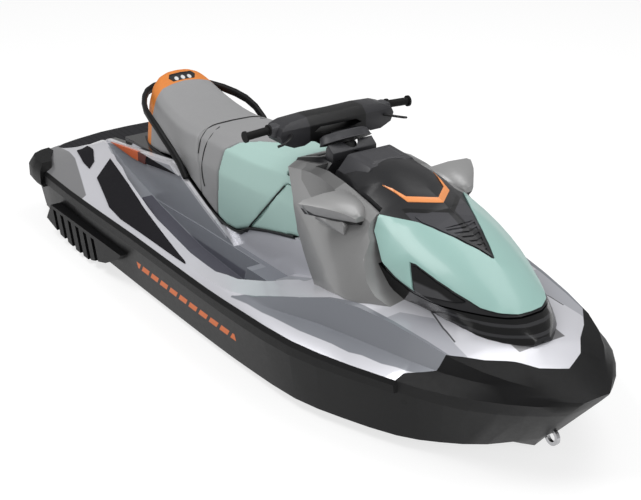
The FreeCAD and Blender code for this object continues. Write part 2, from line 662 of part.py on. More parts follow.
# Steering column, its axis leaning back
STEER_FOOT_SHARE = (188, 91.5)
STEER_TILT = 32
steer_foot = spot(STEER_FOOT_SHARE[0], 0, STEER_FOOT_SHARE[1])
steer_axis = Vector(-math.sin(math.radians(STEER_TILT)), 0, math.cos(math.radians(STEER_TILT)))
column_rise = size("column_rise")
column_radius = size("column_radius")
column_top = steer_foot + steer_axis * column_rise
column = faceted(steer_foot - steer_axis * column_rise, column_top, column_radius + moving_gap, column_radius)
pin_radius = size("steer_pin")
pin_length = size("steer_pin_length")
column = column.fuse(rod(pin_radius, pin_length, column_top, steer_axis))

# Gauge pod ahead of the column, facing the rider
GAUGE_SHARES = [(186.5, 88), (187.5, 96.6), (189, 98.2), (192.4, 95.6), (192.4, 88)]
GAUGE_HALF_SHARE = 10.5
gauge = side_prism(GAUGE_SHARES, -GAUGE_HALF_SHARE, GAUGE_HALF_SHARE)

console = console.fuse(bracket).cut(deck).cut(glove_hollow).cut(lid_seat).cut(lid_bore).cut(column)
console = biggest(console)
neck_reach = column_radius + 2 * moving_gap
neck_room = faceted(steer_foot, steer_foot + steer_axis * (4 * column_rise), neck_reach, neck_reach)
gauge = biggest(gauge.cut(console).cut(neck_room).cut(column))

# Handlebar cover: a pad with a window, and a hub over the column pin
COVER_OUTLINE_SHARES = [
    (0, 107.2), (12, 107.5), (22, 106.6), (26, 105.2), (27.4, 102.4), (26, 99), (21, 96.8), (16, 96.8),
    (13, 98), (10.5, 97.4), (8, 95.4), (0, 95.4),
]
WINDOW_SHARES = [(0, 103), (8.5, 103.2), (11.4, 101.6), (6, 100.2), (0, 100)]
PAD_REAR_SHARE = 170.5
PAD_FRONT_SHARE = 181
PAD_SLOPE_SHARES = [
    (169, 94), (184, 90), (184, 101), (181, 104.4), (178, 107.6), (172.5, 108.5), (170.6, 106.5), (169.4, 102),
]


def across_face(outline_share, x):
    half = [spot(x, y, z) for y, z in outline_share]
    other = [spot(x, -y, z) for y, z in reversed(outline_share[1:-1])]
    return Part.Face(Part.makePolygon(half + other + half[:1]))


pad_length = X_AXIS * (along(PAD_FRONT_SHARE) - along(PAD_REAR_SHARE))
bar_cover = across_face(COVER_OUTLINE_SHARES, PAD_REAR_SHARE).extrude(pad_length)
bar_cover = bar_cover.common(side_prism(PAD_SLOPE_SHARES, -40, 40))
window = across_face(WINDOW_SHARES, PAD_REAR_SHARE - 10).extrude(pad_length * 3)
hub_start = column_top + steer_axis * moving_gap
hub_length = size("steer_hub_length")
hub = faceted(hub_start, hub_start + steer_axis * hub_length, column_radius, column_radius - moving_gap)
steer_bore = rod(
    pin_radius + running_gap, pin_length + moving_gap, column_top - steer_axis * moving_gap, steer_axis
)
sweep_reach = column_radius + 4 * moving_gap
sweep_room = faceted(hub_start, hub_start - steer_axis * (2 * column_rise), sweep_reach, sweep_reach)
bar_cover = bar_cover.fuse(hub).cut(window).cut(sweep_room).cut(steer_bore)

# Handlebar through the cover, with a grip at each end
GRIP_START_SHARE = (174.5, 27.8, 103.8)
GRIP_END_SHARE = (174.7, 39.8, 103.2)
grip_start = spot(*GRIP_START_SHARE)
grip_end = spot(*GRIP_END_SHARE)
grip_line = (grip_end - grip_start).normalize()
bar_radius = size("bar_radius")
bar_tip = bar(grip_start, grip_end - grip_line * (2 * skin), bar_radius)
bar_across = bar(grip_start, grip_start - Y_AXIS * (2 * grip_start.y), bar_radius)
handlebar = bar_across.fuse(bar_tip).fuse(mirrored(bar_tip))
bar_cover = biggest(bar_cover.cut(handlebar))
flange_width = 2 * skin
grip_radius = size("grip_radius")
grip_flange = size("grip_flange")
grip_inner = grip_start + grip_line * skin
grip = faceted(grip_inner, grip_end, grip_radius, grip_radius)
grip = grip.fuse(faceted(grip_end - grip_line * flange_width, grip_end, grip_flange, grip_flange))
grip = grip.fuse(faceted(grip_inner, grip_inner + grip_line * flange_width, grip_flange, grip_flange))
grips = both_sides(grip.cut(handlebar))

# Levers ahead of the grips
LEVER_SHARES = [(178, 22, 101.6), (183, 24, 102.2), (185, 27, 101.6), (184.6, 31, 100.4)]
lever_radius = size("lever_radius")
LEVER_STEPS = 8
lever = tube([spot(*p) for p in LEVER_SHARES], 1.4 * lever_radius, lever_radius, LEVER_STEPS)
levers = both_sides(biggest(lever.cut(bar_cover)))

# Mirrors: shells with a glass let into the rear face, on the fairings
MIRROR_SHARES = [
    (214, 18.4, 41.2, 79.8, 90.4),
    (222, 19, 36, 80.2, 90.2),
    (228, 20.8, 31, 81.3, 88.6),
    (231.5, 23.6, 28, 82.8, 86.4),
]


MIRROR_RING_SHARES = [
    (0, 0.8), (0.1, 1), (0.5, 1.04), (0.9, 0.98), (1, 0.88), (0.88, 0.45), (0.5, 0.08), (0.1, 0), (0, 0.2),
]


def mirror_section(row, inset=0):
    x, y_in, y_out, z_low, z_high = row
    y_in, y_out, z_low, z_high = y_in + inset, y_out - inset, z_low + inset, z_high - inset
    ring = [(y_in + over * (y_out - y_in), z_low + up * (z_high - z_low)) for over, up in MIRROR_RING_SHARES]
    return [spot(x, y, z) for y, z in ring]


GLASS_INSET_SHARE = 0.8
glass_ring = mirror_section(MIRROR_SHARES[0], GLASS_INSET_SHARE)
glass_face = Part.Face(Part.makePolygon(glass_ring + glass_ring[:1]))
glass_recess = glass_face.extrude(X_AXIS * (4 * skin))
glass_plate = glass_face.extrude(X_AXIS * skin).translated(X_AXIS * (3 * skin))
mirror_shell = fair([mirror_section(row) for row in MIRROR_SHARES]).cut(glass_recess).cut(fairing_port)
mirror_shell = biggest(mirror_shell)
glass = biggest(glass_plate.cut(fairing_port))
ARM_SHARES = [(207, 78), (226, 78), (224, 88), (209, 88)]
arm_full = side_prism(ARM_SHARES, 20, 29)
mirror_body = fair([mirror_section(row) for row in MIRROR_SHARES])
mirror_arm = biggest(arm_full.cut(mirror_body).cut(fairing_port))

keep("hood", hood)
keep("fascia", fascia)
keep("hood_cover", cover)
keep("lamp_inserts", lamps)
keep("hood_grille", grille)
keep("hood_stripe", stripe)
keep("fairing_port", fairing_port)
keep("fairing_starboard", fairing_starboard)
keep("console", console)
keep("glove_box_lid", lid)
keep("steering_column", column)
keep("handlebar", handlebar)
keep("handlebar_cover", bar_cover)
keep("grips", grips)
keep("levers", levers)
keep("gauge", gauge)
keep("mirror_shells", both_sides(mirror_shell))
keep("mirror_glasses", both_sides(glass))
keep("mirror_arms", both_sides(mirror_arm))

# Seat: rows of x, then (y, z) from the top centre down the side
SEAT_SHARES = [
    (42, (0, 83), (3, 82.8), (5.5, 81.5), (7.5, 79), (8.5, 74), (10, 62)),
    (46, (0, 90), (4, 89.6), (8, 88), (10.5, 84.5), (12.5, 78), (15, 61)),
    (50, (0, 92), (5.5, 91.6), (10, 90), (13.5, 86.5), (16, 79), (18, 60)),
    (56, (0, 88.5), (7, 88.2), (12.5, 87), (16, 83.5), (18.6, 76), (20.5, 60)),
    (65, (0, 84.5), (8, 84.2), (14, 83.2), (17.5, 80), (20.3, 72), (21.5, 60)),
    (80, (0, 81.2), (8.5, 81), (15, 80), (18.5, 77.4), (21.4, 70), (22.8, 59)),
    (95, (0, 80.8), (8.5, 80.6), (15, 79.6), (19, 77), (22.2, 69), (23.6, 54)),
    (107, (0, 82.4), (8.5, 82.2), (14.5, 81.2), (19, 78), (22.4, 69), (23.8, 48)),
    (120, (0, 83.6), (8, 83.4), (14, 82.3), (19.4, 78.6), (22.8, 69), (23.8, 44)),
    (135, (0, 83.8), (8, 83.6), (13.5, 82.5), (19, 78.8), (22.6, 69), (23.8, 44)),
    (150, (0, 84.6), (7.5, 84.4), (13, 83.4), (18.8, 79.6), (22.4, 70), (23.8, 48)),
    (162, (0, 86.4), (7.5, 86.2), (13, 85.2), (18.8, 81), (22.3, 71), (23.6, 52)),
    (172, (0, 88), (7.5, 87.8), (13, 86.6), (18.8, 82), (22.2, 72), (23.4, 56)),
    (186, (0, 89), (7.5, 88.8), (13, 87.2), (18.8, 82), (22, 72), (23.2, 58)),
]
SEAT_FOOT_SHARE = 1.5


def seat_section(row):
    x, *half = row
    foot_z = half[-1][1] - SEAT_FOOT_SHARE
    ring = half + [(0, foot_z)] + [(-y, z) for y, z in reversed(half[1:])]
    return [spot(x, y, z) for y, z in ring]


seat_form = fair([seat_section(row) for row in SEAT_SHARES]).common(above_seat_line)
SEAT_END_SHARE = 170.5
seat_end = plan_prism([(SEAT_END_SHARE, -18), (200, -18), (200, 18), (SEAT_END_SHARE, 18)], 40, 110)
seat_form = seat_form.cut(seat_end)
seat_form = biggest(seat_form.cut(pedestal).cut(ledge).cut(console).cut(fairing_port).cut(fairing_starboard))
PASSENGER_SHARES = [(20, 40), (20, 110), (98, 110), (99.5, 78), (107, 66), (109, 58), (110, 40)]
SADDLE_SHARES = [(143, 0), (139.5, 4), (134, 8.3), (128, 13.5), (123.4, 19), (123, 30), (200, 30), (200, 0)]
TRIM_SHARES = [(148, 48), (150, 52.5), (162, 65.5), (170, 75), (173, 79), (195, 79), (195, 48)]
passenger_side = side_prism(PASSENGER_SHARES, -40, 40)
saddle_plan = plan_prism(centred(SADDLE_SHARES), 30, 110)
TRIM_INNER_SHARE = 17.5
trim_port = biggest(seat_form.common(side_prism(TRIM_SHARES, TRIM_INNER_SHARE, 40)))
trims = both_sides(trim_port)
seat_passenger = biggest(seat_form.common(passenger_side))
seat_driver = biggest(seat_form.cut(passenger_side).cut(saddle_plan))
seat_saddle = biggest(seat_form.cut(passenger_side).common(saddle_plan).cut(trims))

# Grab handle: a loop behind the seat with an arm down each side
HANDLE_SHARES = [
    (100, 25.4, 59), (93, 25.4, 65.5), (83, 26.2, 72.5), (74, 26, 77), (62, 24, 79.6), (51, 19, 81.4), (41, 11, 82),
    (36.5, 0, 82),
]
handle_path = [spot(*p) for p in HANDLE_SHARES] + [spot(x, -y, z) for x, y, z in reversed(HANDLE_SHARES[:-1])]
handle_radius = size("handle_radius")
HANDLE_STEPS = 22
handle = tube(handle_path, handle_radius, 1.5 * handle_radius, HANDLE_STEPS)
handle = biggest(handle.cut(seat_form).cut(deck).cut(ledge))

# Badge plate on the rear cushion
BADGE_SHARES = [(51.6, -5.6), (53.4, -7), (55.4, -5.6), (55.4, 5.6), (53.4, 7), (51.6, 5.6)]
badge_block = plan_prism(BADGE_SHARES, 80, 100)
badge = biggest(seat_form.translated(Z_AXIS * (0.5 * skin)).common(badge_block).cut(seat_form))

keep("seat_passenger", seat_passenger)
keep("seat_driver", seat_driver)
keep("seat_saddle", seat_saddle)
keep("saddle_trims", trims)
keep("grab_handle", handle)
keep("seat_badge", badge)

# Sponsons on the lower hull sides, ribbed on the outside
SPONSON_SHARES = [(30, 25), (36, 33.5), (108, 34), (103, 30), (92, 24.5), (74, 19.5), (60, 19.8), (44, 21.5)]
SPONSON_OUTER_SHARE = 63.4
RIB_SHARES = [(0, 34), (3.4, 34), (9.4, 15), (6, 15)]
RIB_STARTS_SHARE = [38, 46, 54, 62, 70, 78]
RIB_DEPTH_SHARE = 1.6
sponson = side_prism(SPONSON_SHARES, 50, SPONSON_OUTER_SHARE)
for start in RIB_STARTS_SHARE:
    pocket = [(start + x, z - 2) for x, z in RIB_SHARES]
    sponson = sponson.cut(side_prism(pocket, SPONSON_OUTER_SHARE - RIB_DEPTH_SHARE, SPONSON_OUTER_SHARE + 2))
sponson = biggest(sponson.cut(form).cut(rail_port))

# Pump housing: a ring in the tunnel with a hub on six guide vanes
HOUSING_SHARES = (31, 61)
STATOR_SHARES = (35, 44)
VANE_COUNT = 6
seat_gap = size("seat_gap")
housing_start, housing_end = HOUSING_SHARES
stator_start, stator_end = STATOR_SHARES
pump_bore = size("pump_bore")


def on_shaft(radius, x_from, x_to):
    return rod(radius, along(x_to) - along(x_from), spot(x_from, 0, PUMP_Z_SHARE), X_AXIS)


def shaft_hub(x_from, x_to):
    hub_radius = size("hub_radius")
    return faceted(spot(x_from, 0, PUMP_Z_SHARE), spot(x_to, 0, PUMP_Z_SHARE), hub_radius, hub_radius)


vane_box = Part.makeBox(
    along(stator_end) - along(stator_start), size("vane_thickness"), size("pump_outer") - skin,
    spot(stator_start, 0, PUMP_Z_SHARE) - Y_AXIS * (0.5 * size("vane_thickness")),
)
housing = on_shaft(size("pump_outer") - seat_gap, housing_start, housing_end).cut(
    on_shaft(pump_bore, housing_start - 1, housing_end + 1)
)
for n in range(VANE_COUNT):
    vane = vane_box.copy()
    vane.rotate(pump_centre, X_AXIS, (n + 0.5) * 360 / VANE_COUNT)
    housing = housing.fuse(vane)
stator_hub = shaft_hub(stator_start, stator_end)
housing = housing.fuse(stator_hub)
housing = housing.cut(on_shaft(shaft_radius + running_gap, stator_start + 2, stator_end + 1))

# Lugs of the housing that carry the jet nozzle above and below
NOZZLE_PIVOT_SHARE = 28
LUG_SHARES = [(25.4, 8.4), (31.4, 8.4), (31.4, 9.1), (25.4, 9.1)]
LUG_HALF_SHARE = 1.7
nozzle_pivot = spot(NOZZLE_PIVOT_SHARE, 0, PUMP_Z_SHARE)
pivot_length = across(9.1)
for sign in (1, -1):
    outline = [(x, PUMP_Z_SHARE + sign * z) for x, z in LUG_SHARES]
    lug = side_prism(outline, -LUG_HALF_SHARE, LUG_HALF_SHARE)
    lug = lug.cut(rod(bore_radius, pivot_length + overrun, nozzle_pivot, Z_AXIS * sign))
    housing = housing.fuse(lug)
housing = biggest(housing)

# Jet nozzle: a tapered pipe on two pivot pins
NOZZLE_SHARES = (30.5, 15.5)
nozzle_front, nozzle_rear = NOZZLE_SHARES
nozzle_wall = size("nozzle_wall")
nozzle_start = spot(nozzle_rear, 0, PUMP_Z_SHARE)
nozzle_end = spot(nozzle_front, 0, PUMP_Z_SHARE)
nozzle_exit = size("nozzle_exit")
nozzle_mouth = size("nozzle_mouth")
nozzle_skin = faceted(nozzle_start, nozzle_end, nozzle_exit, nozzle_mouth)
nozzle_room = faceted(nozzle_start, nozzle_end, nozzle_exit - nozzle_wall, nozzle_mouth - nozzle_wall)
nozzle_pins = rod(pivot_radius, 2 * pivot_length, nozzle_pivot - Z_AXIS * pivot_length, Z_AXIS)
nozzle = nozzle_skin.fuse(nozzle_pins).cut(nozzle_room)

# Impeller on its drive shaft, with four twisted blades
IMPELLER_SHARES = (45.5, 52.5)
BLADE_COUNT = 4
BLADE_SHARES = [(2, 1.5), (4.6, 2.3), (7, 2.8)]
impeller_start, impeller_end = IMPELLER_SHARES
blade_rings = []
for radius, swing in BLADE_SHARES:
    rear = spot(impeller_start + 0.4, -swing, PUMP_Z_SHARE + radius)
    fore = spot(impeller_end - 0.4, swing, PUMP_Z_SHARE + radius)
    side = Y_AXIS * size("vane_thickness")
    blade_rings.append([rear, fore, fore + side, rear + side])
blade = loft(blade_rings)
impeller = shaft_hub(impeller_start, impeller_end)
impeller = impeller.fuse(on_shaft(shaft_radius, stator_start + 3, SHAFT_END_SHARE))
for n in range(BLADE_COUNT):
    turned = blade.copy()
    turned.rotate(pump_centre, X_AXIS, n * 360 / BLADE_COUNT)
    impeller = impeller.fuse(turned)
impeller = biggest(impeller)

# Reverse bucket: a shell that swings down behind the nozzle on two arms
BUCKET_ANGLES = (50, 125)
bucket_radius = size("bucket_radius")
bucket_wall = size("bucket_wall")
bucket_half = size("bucket_half_width")


def bucket_point(angle, radius):
    turn = math.radians(angle)
    return bucket_centre + X_AXIS * (-radius * math.cos(turn)) + Z_AXIS * (radius * math.sin(turn))


def bucket_wedge(angle_from, angle_to, radius, y_from, y_to):
    corners = [bucket_point(angle_from, 0)]
    steps = 5
    for n in range(steps + 1):
        corners.append(bucket_point(angle_from + (angle_to - angle_from) * n / steps, 1.2 * radius))
    face = Part.Face(Part.makePolygon([p + Y_AXIS * y_from for p in corners + corners[:1]]))
    return face.extrude(Y_AXIS * (y_to - y_from))


bucket_drum = Part.makeCylinder(bucket_radius, 2 * bucket_half, bucket_centre - Y_AXIS * bucket_half, Y_AXIS)
bucket_room = Part.makeCylinder(
    bucket_radius - bucket_wall, 2 * (bucket_half - bucket_wall), bucket_centre - Y_AXIS * (bucket_half - bucket_wall), Y_AXIS
)
bucket = bucket_drum.common(bucket_wedge(*BUCKET_ANGLES, bucket_radius, -bucket_half, bucket_half)).cut(bucket_room)
bucket_pin_length = size("recess_half_width") + 3 * moving_gap - (bucket_half - bucket_wall)
boss_radius = 2.6 * pivot_radius
for sign in (1, -1):
    foot = bucket_centre + Y_AXIS * (sign * (bucket_half - bucket_wall))
    bucket = bucket.fuse(rod(pivot_radius, bucket_pin_length, foot, Y_AXIS * sign))
    bucket = bucket.fuse(rod(boss_radius, bucket_wall, foot, Y_AXIS * sign))
bucket = biggest(bucket)

# Ride plate under the pump, grate over the intake, and the engine
RIDE_SHARES = [(0, 5.4), (36, 5.4), (36, 6.6), (0, 6.6)]
ride_plate = side_prism(RIDE_SHARES, -recess_half, recess_half)
GRATE_SHARES = [(60, 2.6), (104, 2.6), (104, 4), (60, 4)]
GRATE_BARS_SHARE = [-6, -3, 0, 3, 6]
GRATE_BAR_SHARE = 0.4
bars = [side_prism(GRATE_SHARES, y - GRATE_BAR_SHARE, y + GRATE_BAR_SHARE) for y in GRATE_BARS_SHARE]
for x in (62, 94):
    cross = [(x, 2.6), (x + 3, 2.6), (x + 3, 4), (x, 4)]
    bars.append(side_prism(cross, -INTAKE_HALF_SHARE, INTAKE_HALF_SHARE))
grate = bars[0].multiFuse(bars[1:]).common(intake)
grate = biggest(grate)
engine = Part.makeBox(size("engine_length"), size("engine_width"), size("engine_height"), engine_corner)

# Towing eyes at bow and stern, and the drain plugs
BOW_EYE_SHARE = (311.6, 0, 25)
STERN_EYE_SHARE = (-5, 24, 33)
eye_radius = size("eye_radius")
eye_rod = size("eye_rod")


def eye(centre):
    """A flat ring in the upright plane along the craft."""
    front = centre - Y_AXIS * eye_rod
    back = centre + Y_AXIS * eye_rod
    inner = eye_radius - eye_rod
    outer = eye_radius + eye_rod
    return faceted(front, back, outer, outer).cut(faceted(front, back, inner, inner))


bow_eye = biggest(eye(spot(*BOW_EYE_SHARE)).cut(form))
stern_eye = biggest(eye(spot(*STERN_EYE_SHARE)).cut(form))
eyes = Part.makeCompound([bow_eye, stern_eye, mirrored(stern_eye)])
PLUG_SHARE = (-7.4, 20, 14)
plug_radius = size("plug_radius")
plug_foot = spot(*PLUG_SHARE)
plug = faceted(plug_foot, plug_foot + X_AXIS * (4 * skin), plug_radius, plug_radius).cut(form)
plugs = both_sides(biggest(plug))

keep("sponsons", both_sides(sponson))
keep("pump_housing", housing)
keep("jet_nozzle", nozzle)
keep("impeller", impeller)
keep("reverse_bucket", bucket)
keep("ride_plate", ride_plate)
keep("intake_grate", grate)
keep("engine_block", engine)
keep("towing_eyes", eyes)
keep("drain_plugs", plugs)

doc.recompute()
for node in nodes:
    broken = "Invalid" in node.State or "Error" in node.State
    if broken or node.Shape.isNull() or not node.Shape.isValid():
        raise RuntimeError(node.Label + " is not a valid shape")
    node.Shape.exportStep(f"parts/{node.Label}.step")
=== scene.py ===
import math

import bpy
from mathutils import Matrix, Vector


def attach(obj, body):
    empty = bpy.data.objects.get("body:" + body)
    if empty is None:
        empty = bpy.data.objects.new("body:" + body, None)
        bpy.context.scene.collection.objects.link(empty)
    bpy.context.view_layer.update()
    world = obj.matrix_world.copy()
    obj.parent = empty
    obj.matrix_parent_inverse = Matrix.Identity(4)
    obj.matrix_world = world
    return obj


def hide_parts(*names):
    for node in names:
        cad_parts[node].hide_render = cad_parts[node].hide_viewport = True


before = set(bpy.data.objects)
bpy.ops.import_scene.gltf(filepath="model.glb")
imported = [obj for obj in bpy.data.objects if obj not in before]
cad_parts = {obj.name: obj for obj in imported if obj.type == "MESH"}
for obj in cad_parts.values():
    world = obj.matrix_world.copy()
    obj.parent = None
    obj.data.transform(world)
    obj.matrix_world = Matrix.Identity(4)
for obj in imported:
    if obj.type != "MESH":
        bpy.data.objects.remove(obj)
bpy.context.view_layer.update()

# The camera stands ahead of the starboard bow and looks down on the craft, as
# the photographer did, with a long lens that keeps the far side nearly as
# large as the near one.
CAMERA_PLACE = (4.468, -3.036, 2.682)
CAMERA_TILT = math.radians(65.752)
CAMERA_TURN = math.radians(55.6)
SENSOR_WIDTH = 36
LENS_LENGTH = 78.7
bpy.ops.object.select_all(action="DESELECT")
bpy.ops.object.camera_add(location=CAMERA_PLACE, rotation=(CAMERA_TILT, 0, CAMERA_TURN))
camera = bpy.context.object
camera.data.sensor_width = SENSOR_WIDTH
camera.data.lens = LENS_LENGTH
bpy.context.scene.camera = camera
bpy.context.scene.view_settings.view_transform = "Standard"

# The craft floats, so the plain pale floor lies at its waterline. The floor
# fades to white for the camera and for reflections, and keeps the soft shadow.
FLOOR_SIZE = 60
FLOOR_WHITE = (0.88, 0.88, 0.88, 1)
FLOOR_GLOW = 1.2
GLOW_SHARE = 0.62


def emptied_tree(holder):
    """The node tree of a material or world, with nothing in it yet."""
    holder.use_nodes = True
    holder.node_tree.nodes.clear()
    return holder.node_tree


def mix_shaders(tree, share, first, second, out):
    """Blends two shader nodes by a value socket, into the tree's output node."""
    blend = tree.nodes.new("ShaderNodeMixShader")
    tree.links.new(share, blend.inputs["Fac"])
    tree.links.new(first.outputs[0], blend.inputs[1])
    tree.links.new(second.outputs[0], blend.inputs[2])
    tree.links.new(blend.outputs[0], out.inputs["Surface"])


bpy.ops.mesh.primitive_plane_add(size=FLOOR_SIZE, location=(0, 0, 0))
floor = bpy.context.object
floor.name = "floor"
floor_paint = bpy.data.materials.new("pale_floor")
tree = emptied_tree(floor_paint)
out = tree.nodes.new("ShaderNodeOutputMaterial")
matt = tree.nodes.new("ShaderNodeBsdfDiffuse")
matt.inputs["Color"].default_value = FLOOR_WHITE
glow = tree.nodes.new("ShaderNodeEmission")
glow.inputs["Strength"].default_value = FLOOR_GLOW
rays = tree.nodes.new("ShaderNodeLightPath")
seen = rays.outputs["Is Camera Ray"]
for ray in ("Is Glossy Ray", "Is Transmission Ray"):
    either = tree.nodes.new("ShaderNodeMath")
    either.operation = "MAXIMUM"
    tree.links.new(seen, either.inputs[0])
    tree.links.new(rays.outputs[ray], either.inputs[1])
    seen = either.outputs[0]
share = tree.nodes.new("ShaderNodeMath")
share.operation = "MULTIPLY"
share.inputs[1].default_value = GLOW_SHARE
tree.links.new(seen, share.inputs[0])
mix_shaders(tree, share.outputs[0], matt, glow, out)
floor.data.materials.append(floor_paint)

# An even white sky, dimmed where it lights the craft, and three large soft
# lamps: one above the starboard side, one above the far side and a low one
# ahead of the bow.
SKY_LIGHT = 0.5
WHITE = (1, 1, 1, 1)
world = bpy.data.worlds.new("studio")
bpy.context.scene.world = world
tree = emptied_tree(world)
out = tree.nodes.new("ShaderNodeOutputWorld")
dim = tree.nodes.new("ShaderNodeBackground")
dim.inputs["Strength"].default_value = SKY_LIGHT
white = tree.nodes.new("ShaderNodeBackground")
white.inputs["Color"].default_value = WHITE
rays = tree.nodes.new("ShaderNodeLightPath")
mix_shaders(tree, rays.outputs["Is Camera Ray"], dim, white, out)

# name, place, aim, width, depth, watts
LAMPS = [
    ("key", (-1.0, -3.2, 6.0), (0, 0, 0.4), 3.6, 2.4, 205),
    ("top", (0.8, 2.0, 6.0), (0, 0, 0.3), 5.0, 3.0, 140),
    ("bow", (6.5, 0.5, 2.6), (1.0, 0, 0.3), 2.5, 2.5, 62),
]
for name, place, aim, width, depth, watts in LAMPS:
    bpy.ops.object.light_add(type="AREA", location=place)
    lamp = bpy.context.object
    lamp.name = name
    lamp.rotation_euler = (Vector(aim) - Vector(place)).to_track_quat("-Z", "Y").to_euler()
    lamp.data.shape = "RECTANGLE"
    lamp.data.size = width
    lamp.data.size_y = depth
    lamp.data.energy = watts

# Hull: one moulded shell of black gelcoat, with a row of orange bars along each
# side and a small round outlet near each side of the bow. It is laid up in a
# mould, so it is smooth with a faint ripple.
GRAIN_SCALE, MOTTLE_SCALE, DUST_SCALE = 900, 6, 55
GRAIN_DETAIL, MOTTLE_DETAIL, DUST_DETAIL = 3, 5, 8
GRAIN_DEPTH = 0.001
COAT_ROUGHNESS = 0.08
LEAST_ROUGHNESS = 0.02
EDGE_SOFT = 0.002
WELD = 0.0003
FLAT_ANGLE = math.radians(20)
SHAPE_ANGLE = math.radians(60)


def tone(red, green, blue):
    """A colour read off as 0 to 255, as the shader wants it."""
    return tuple(((c / 255 + 0.055) / 1.055) ** 2.4 for c in (red, green, blue)) + (1,)


# Grain group: fine moulded texture for the bump, slow mottle for the colour and
# dust for the gloss
grain_group = bpy.data.node_groups.new("moulded_grain", "ShaderNodeTree")
grain_size = grain_group.interface.new_socket(
    "Grain Scale", in_out="INPUT", socket_type="NodeSocketFloat"
)
grain_size.default_value = GRAIN_SCALE
given = grain_group.nodes.new("NodeGroupInput")
made = grain_group.nodes.new("NodeGroupOutput")
place = grain_group.nodes.new("ShaderNodeTexCoord")
for label, scale, detail in (
    ("Height", None, GRAIN_DETAIL),
    ("Mottle", MOTTLE_SCALE, MOTTLE_DETAIL),
    ("Dust", DUST_SCALE, DUST_DETAIL),
):
    grain_group.interface.new_socket(label, in_out="OUTPUT", socket_type="NodeSocketFloat")
    noise = grain_group.nodes.new("ShaderNodeTexNoise")
    noise.inputs["Detail"].default_value = detail
    if scale:
        noise.inputs["Scale"].default_value = scale
    else:
        grain_group.links.new(given.outputs["Grain Scale"], noise.inputs["Scale"])
    grain_group.links.new(place.outputs["Object"], noise.inputs["Vector"])
    grain_group.links.new(noise.outputs["Fac"], made.inputs[label])


def mix_colour(tree, factor, first, second):
    """Blends two colours or colour sockets by a value socket."""
    mixer = tree.nodes.new("ShaderNodeMix")
    mixer.data_type = "RGBA"
    tree.links.new(factor, mixer.inputs["Factor"])
    first_colour, second_colour, result = mixer.inputs[6], mixer.inputs[7], mixer.outputs[2]
    for value, socket in ((first, first_colour), (second, second_colour)):
        if isinstance(value, tuple):
            socket.default_value = value
        else:
            tree.links.new(value, socket)
    return result


def finish(
    name, colour, rough, metal=0.0, coat=0.0, shine=0.5,
    grain=GRAIN_SCALE, bump=0.0, mottle=0.06, uneven=0.05,
):
    """A painted or moulded finish: mottled colour, uneven gloss and fine grain."""
    material = bpy.data.materials.new(name)
    material.use_nodes = True
    tree = material.node_tree
    shader = tree.nodes["Principled BSDF"]
    shader.inputs["Metallic"].default_value = metal
    shader.inputs["Specular IOR Level"].default_value = shine
    shader.inputs["Coat Weight"].default_value = coat
    shader.inputs["Coat Roughness"].default_value = COAT_ROUGHNESS
    surface = tree.nodes.new("ShaderNodeGroup")
    surface.node_tree = grain_group
    surface.inputs["Grain Scale"].default_value = grain
    dark = tuple(c * (1 - mottle) for c in colour[:3]) + (1,)
    light = tuple(min(1, c * (1 + mottle)) for c in colour[:3]) + (1,)
    paint = mix_colour(tree, surface.outputs["Mottle"], dark, light)
    tree.links.new(paint, shader.inputs["Base Color"])
    gloss = tree.nodes.new("ShaderNodeMapRange")
    gloss.inputs["To Min"].default_value = max(LEAST_ROUGHNESS, rough - uneven)
    gloss.inputs["To Max"].default_value = min(1, rough + uneven)
    tree.links.new(surface.outputs["Dust"], gloss.inputs["Value"])
    tree.links.new(gloss.outputs[0], shader.inputs["Roughness"])
    if bump:
        relief = tree.nodes.new("ShaderNodeBump")
        relief.inputs["Strength"].default_value = bump
        relief.inputs["Distance"].default_value = GRAIN_DEPTH
        tree.links.new(surface.outputs["Height"], relief.inputs["Height"])
        tree.links.new(relief.outputs[0], shader.inputs["Normal"])
    return material


def repaint(material, mask, colour):
    """Lays a colour over what the material has, where the mask socket is 1."""
    tree = material.node_tree
    base = tree.nodes["Principled BSDF"].inputs["Base Color"]
    tree.links.new(mix_colour(tree, mask, base.links[0].from_socket, colour), base)


def wear(piece, material):
    """Gives a piece its one material."""
    piece.data.materials.clear()
    piece.data.materials.append(material)


def calculate(tree, operation, first, second=0.0, third=None):
    """One Math node on sockets or numbers."""
    worked = tree.nodes.new("ShaderNodeMath")
    worked.operation = operation
    for n, value in enumerate((first, second, third)):
        if value is None:
            continue
        if isinstance(value, (int, float)):
            worked.inputs[n].default_value = value
        else:
            tree.links.new(value, worked.inputs[n])
    return worked.outputs[0]


def place_on(tree):
    """Sockets of the place on the craft: along, out from the centre, and up."""
    place = tree.nodes.new("ShaderNodeTexCoord")
    parts = tree.nodes.new("ShaderNodeSeparateXYZ")
    tree.links.new(place.outputs["Object"], parts.inputs[0])
    out_from = calculate(tree, "ABSOLUTE", parts.outputs["Y"])
    return parts.outputs["X"], out_from, parts.outputs["Z"]


def over(tree, value, limit, soft=EDGE_SOFT):
    """1 where value is more than limit, with a soft edge."""
    step = tree.nodes.new("ShaderNodeMapRange")
    step.interpolation_type = "SMOOTHSTEP"
    gap = calculate(tree, "SUBTRACT", value, limit)
    tree.links.new(gap, step.inputs["Value"])
    step.inputs["From Min"].default_value = -soft
    step.inputs["From Max"].default_value = soft
    return step.outputs[0]


def both(tree, *masks):
    """1 where every mask is 1."""
    joined = masks[0]
    for mask in masks[1:]:
        joined = calculate(tree, "MULTIPLY", joined, mask)
    return joined


def between(tree, value, span):
    """1 where value lies inside a span."""
    return both(tree, over(tree, value, span[0]), over(tree, span[1], value))


def saw(tree, value, pitch):
    """Climbs from 0 to 1 in each pitch along a value."""
    return calculate(tree, "FRACT", calculate(tree, "DIVIDE", value, pitch))


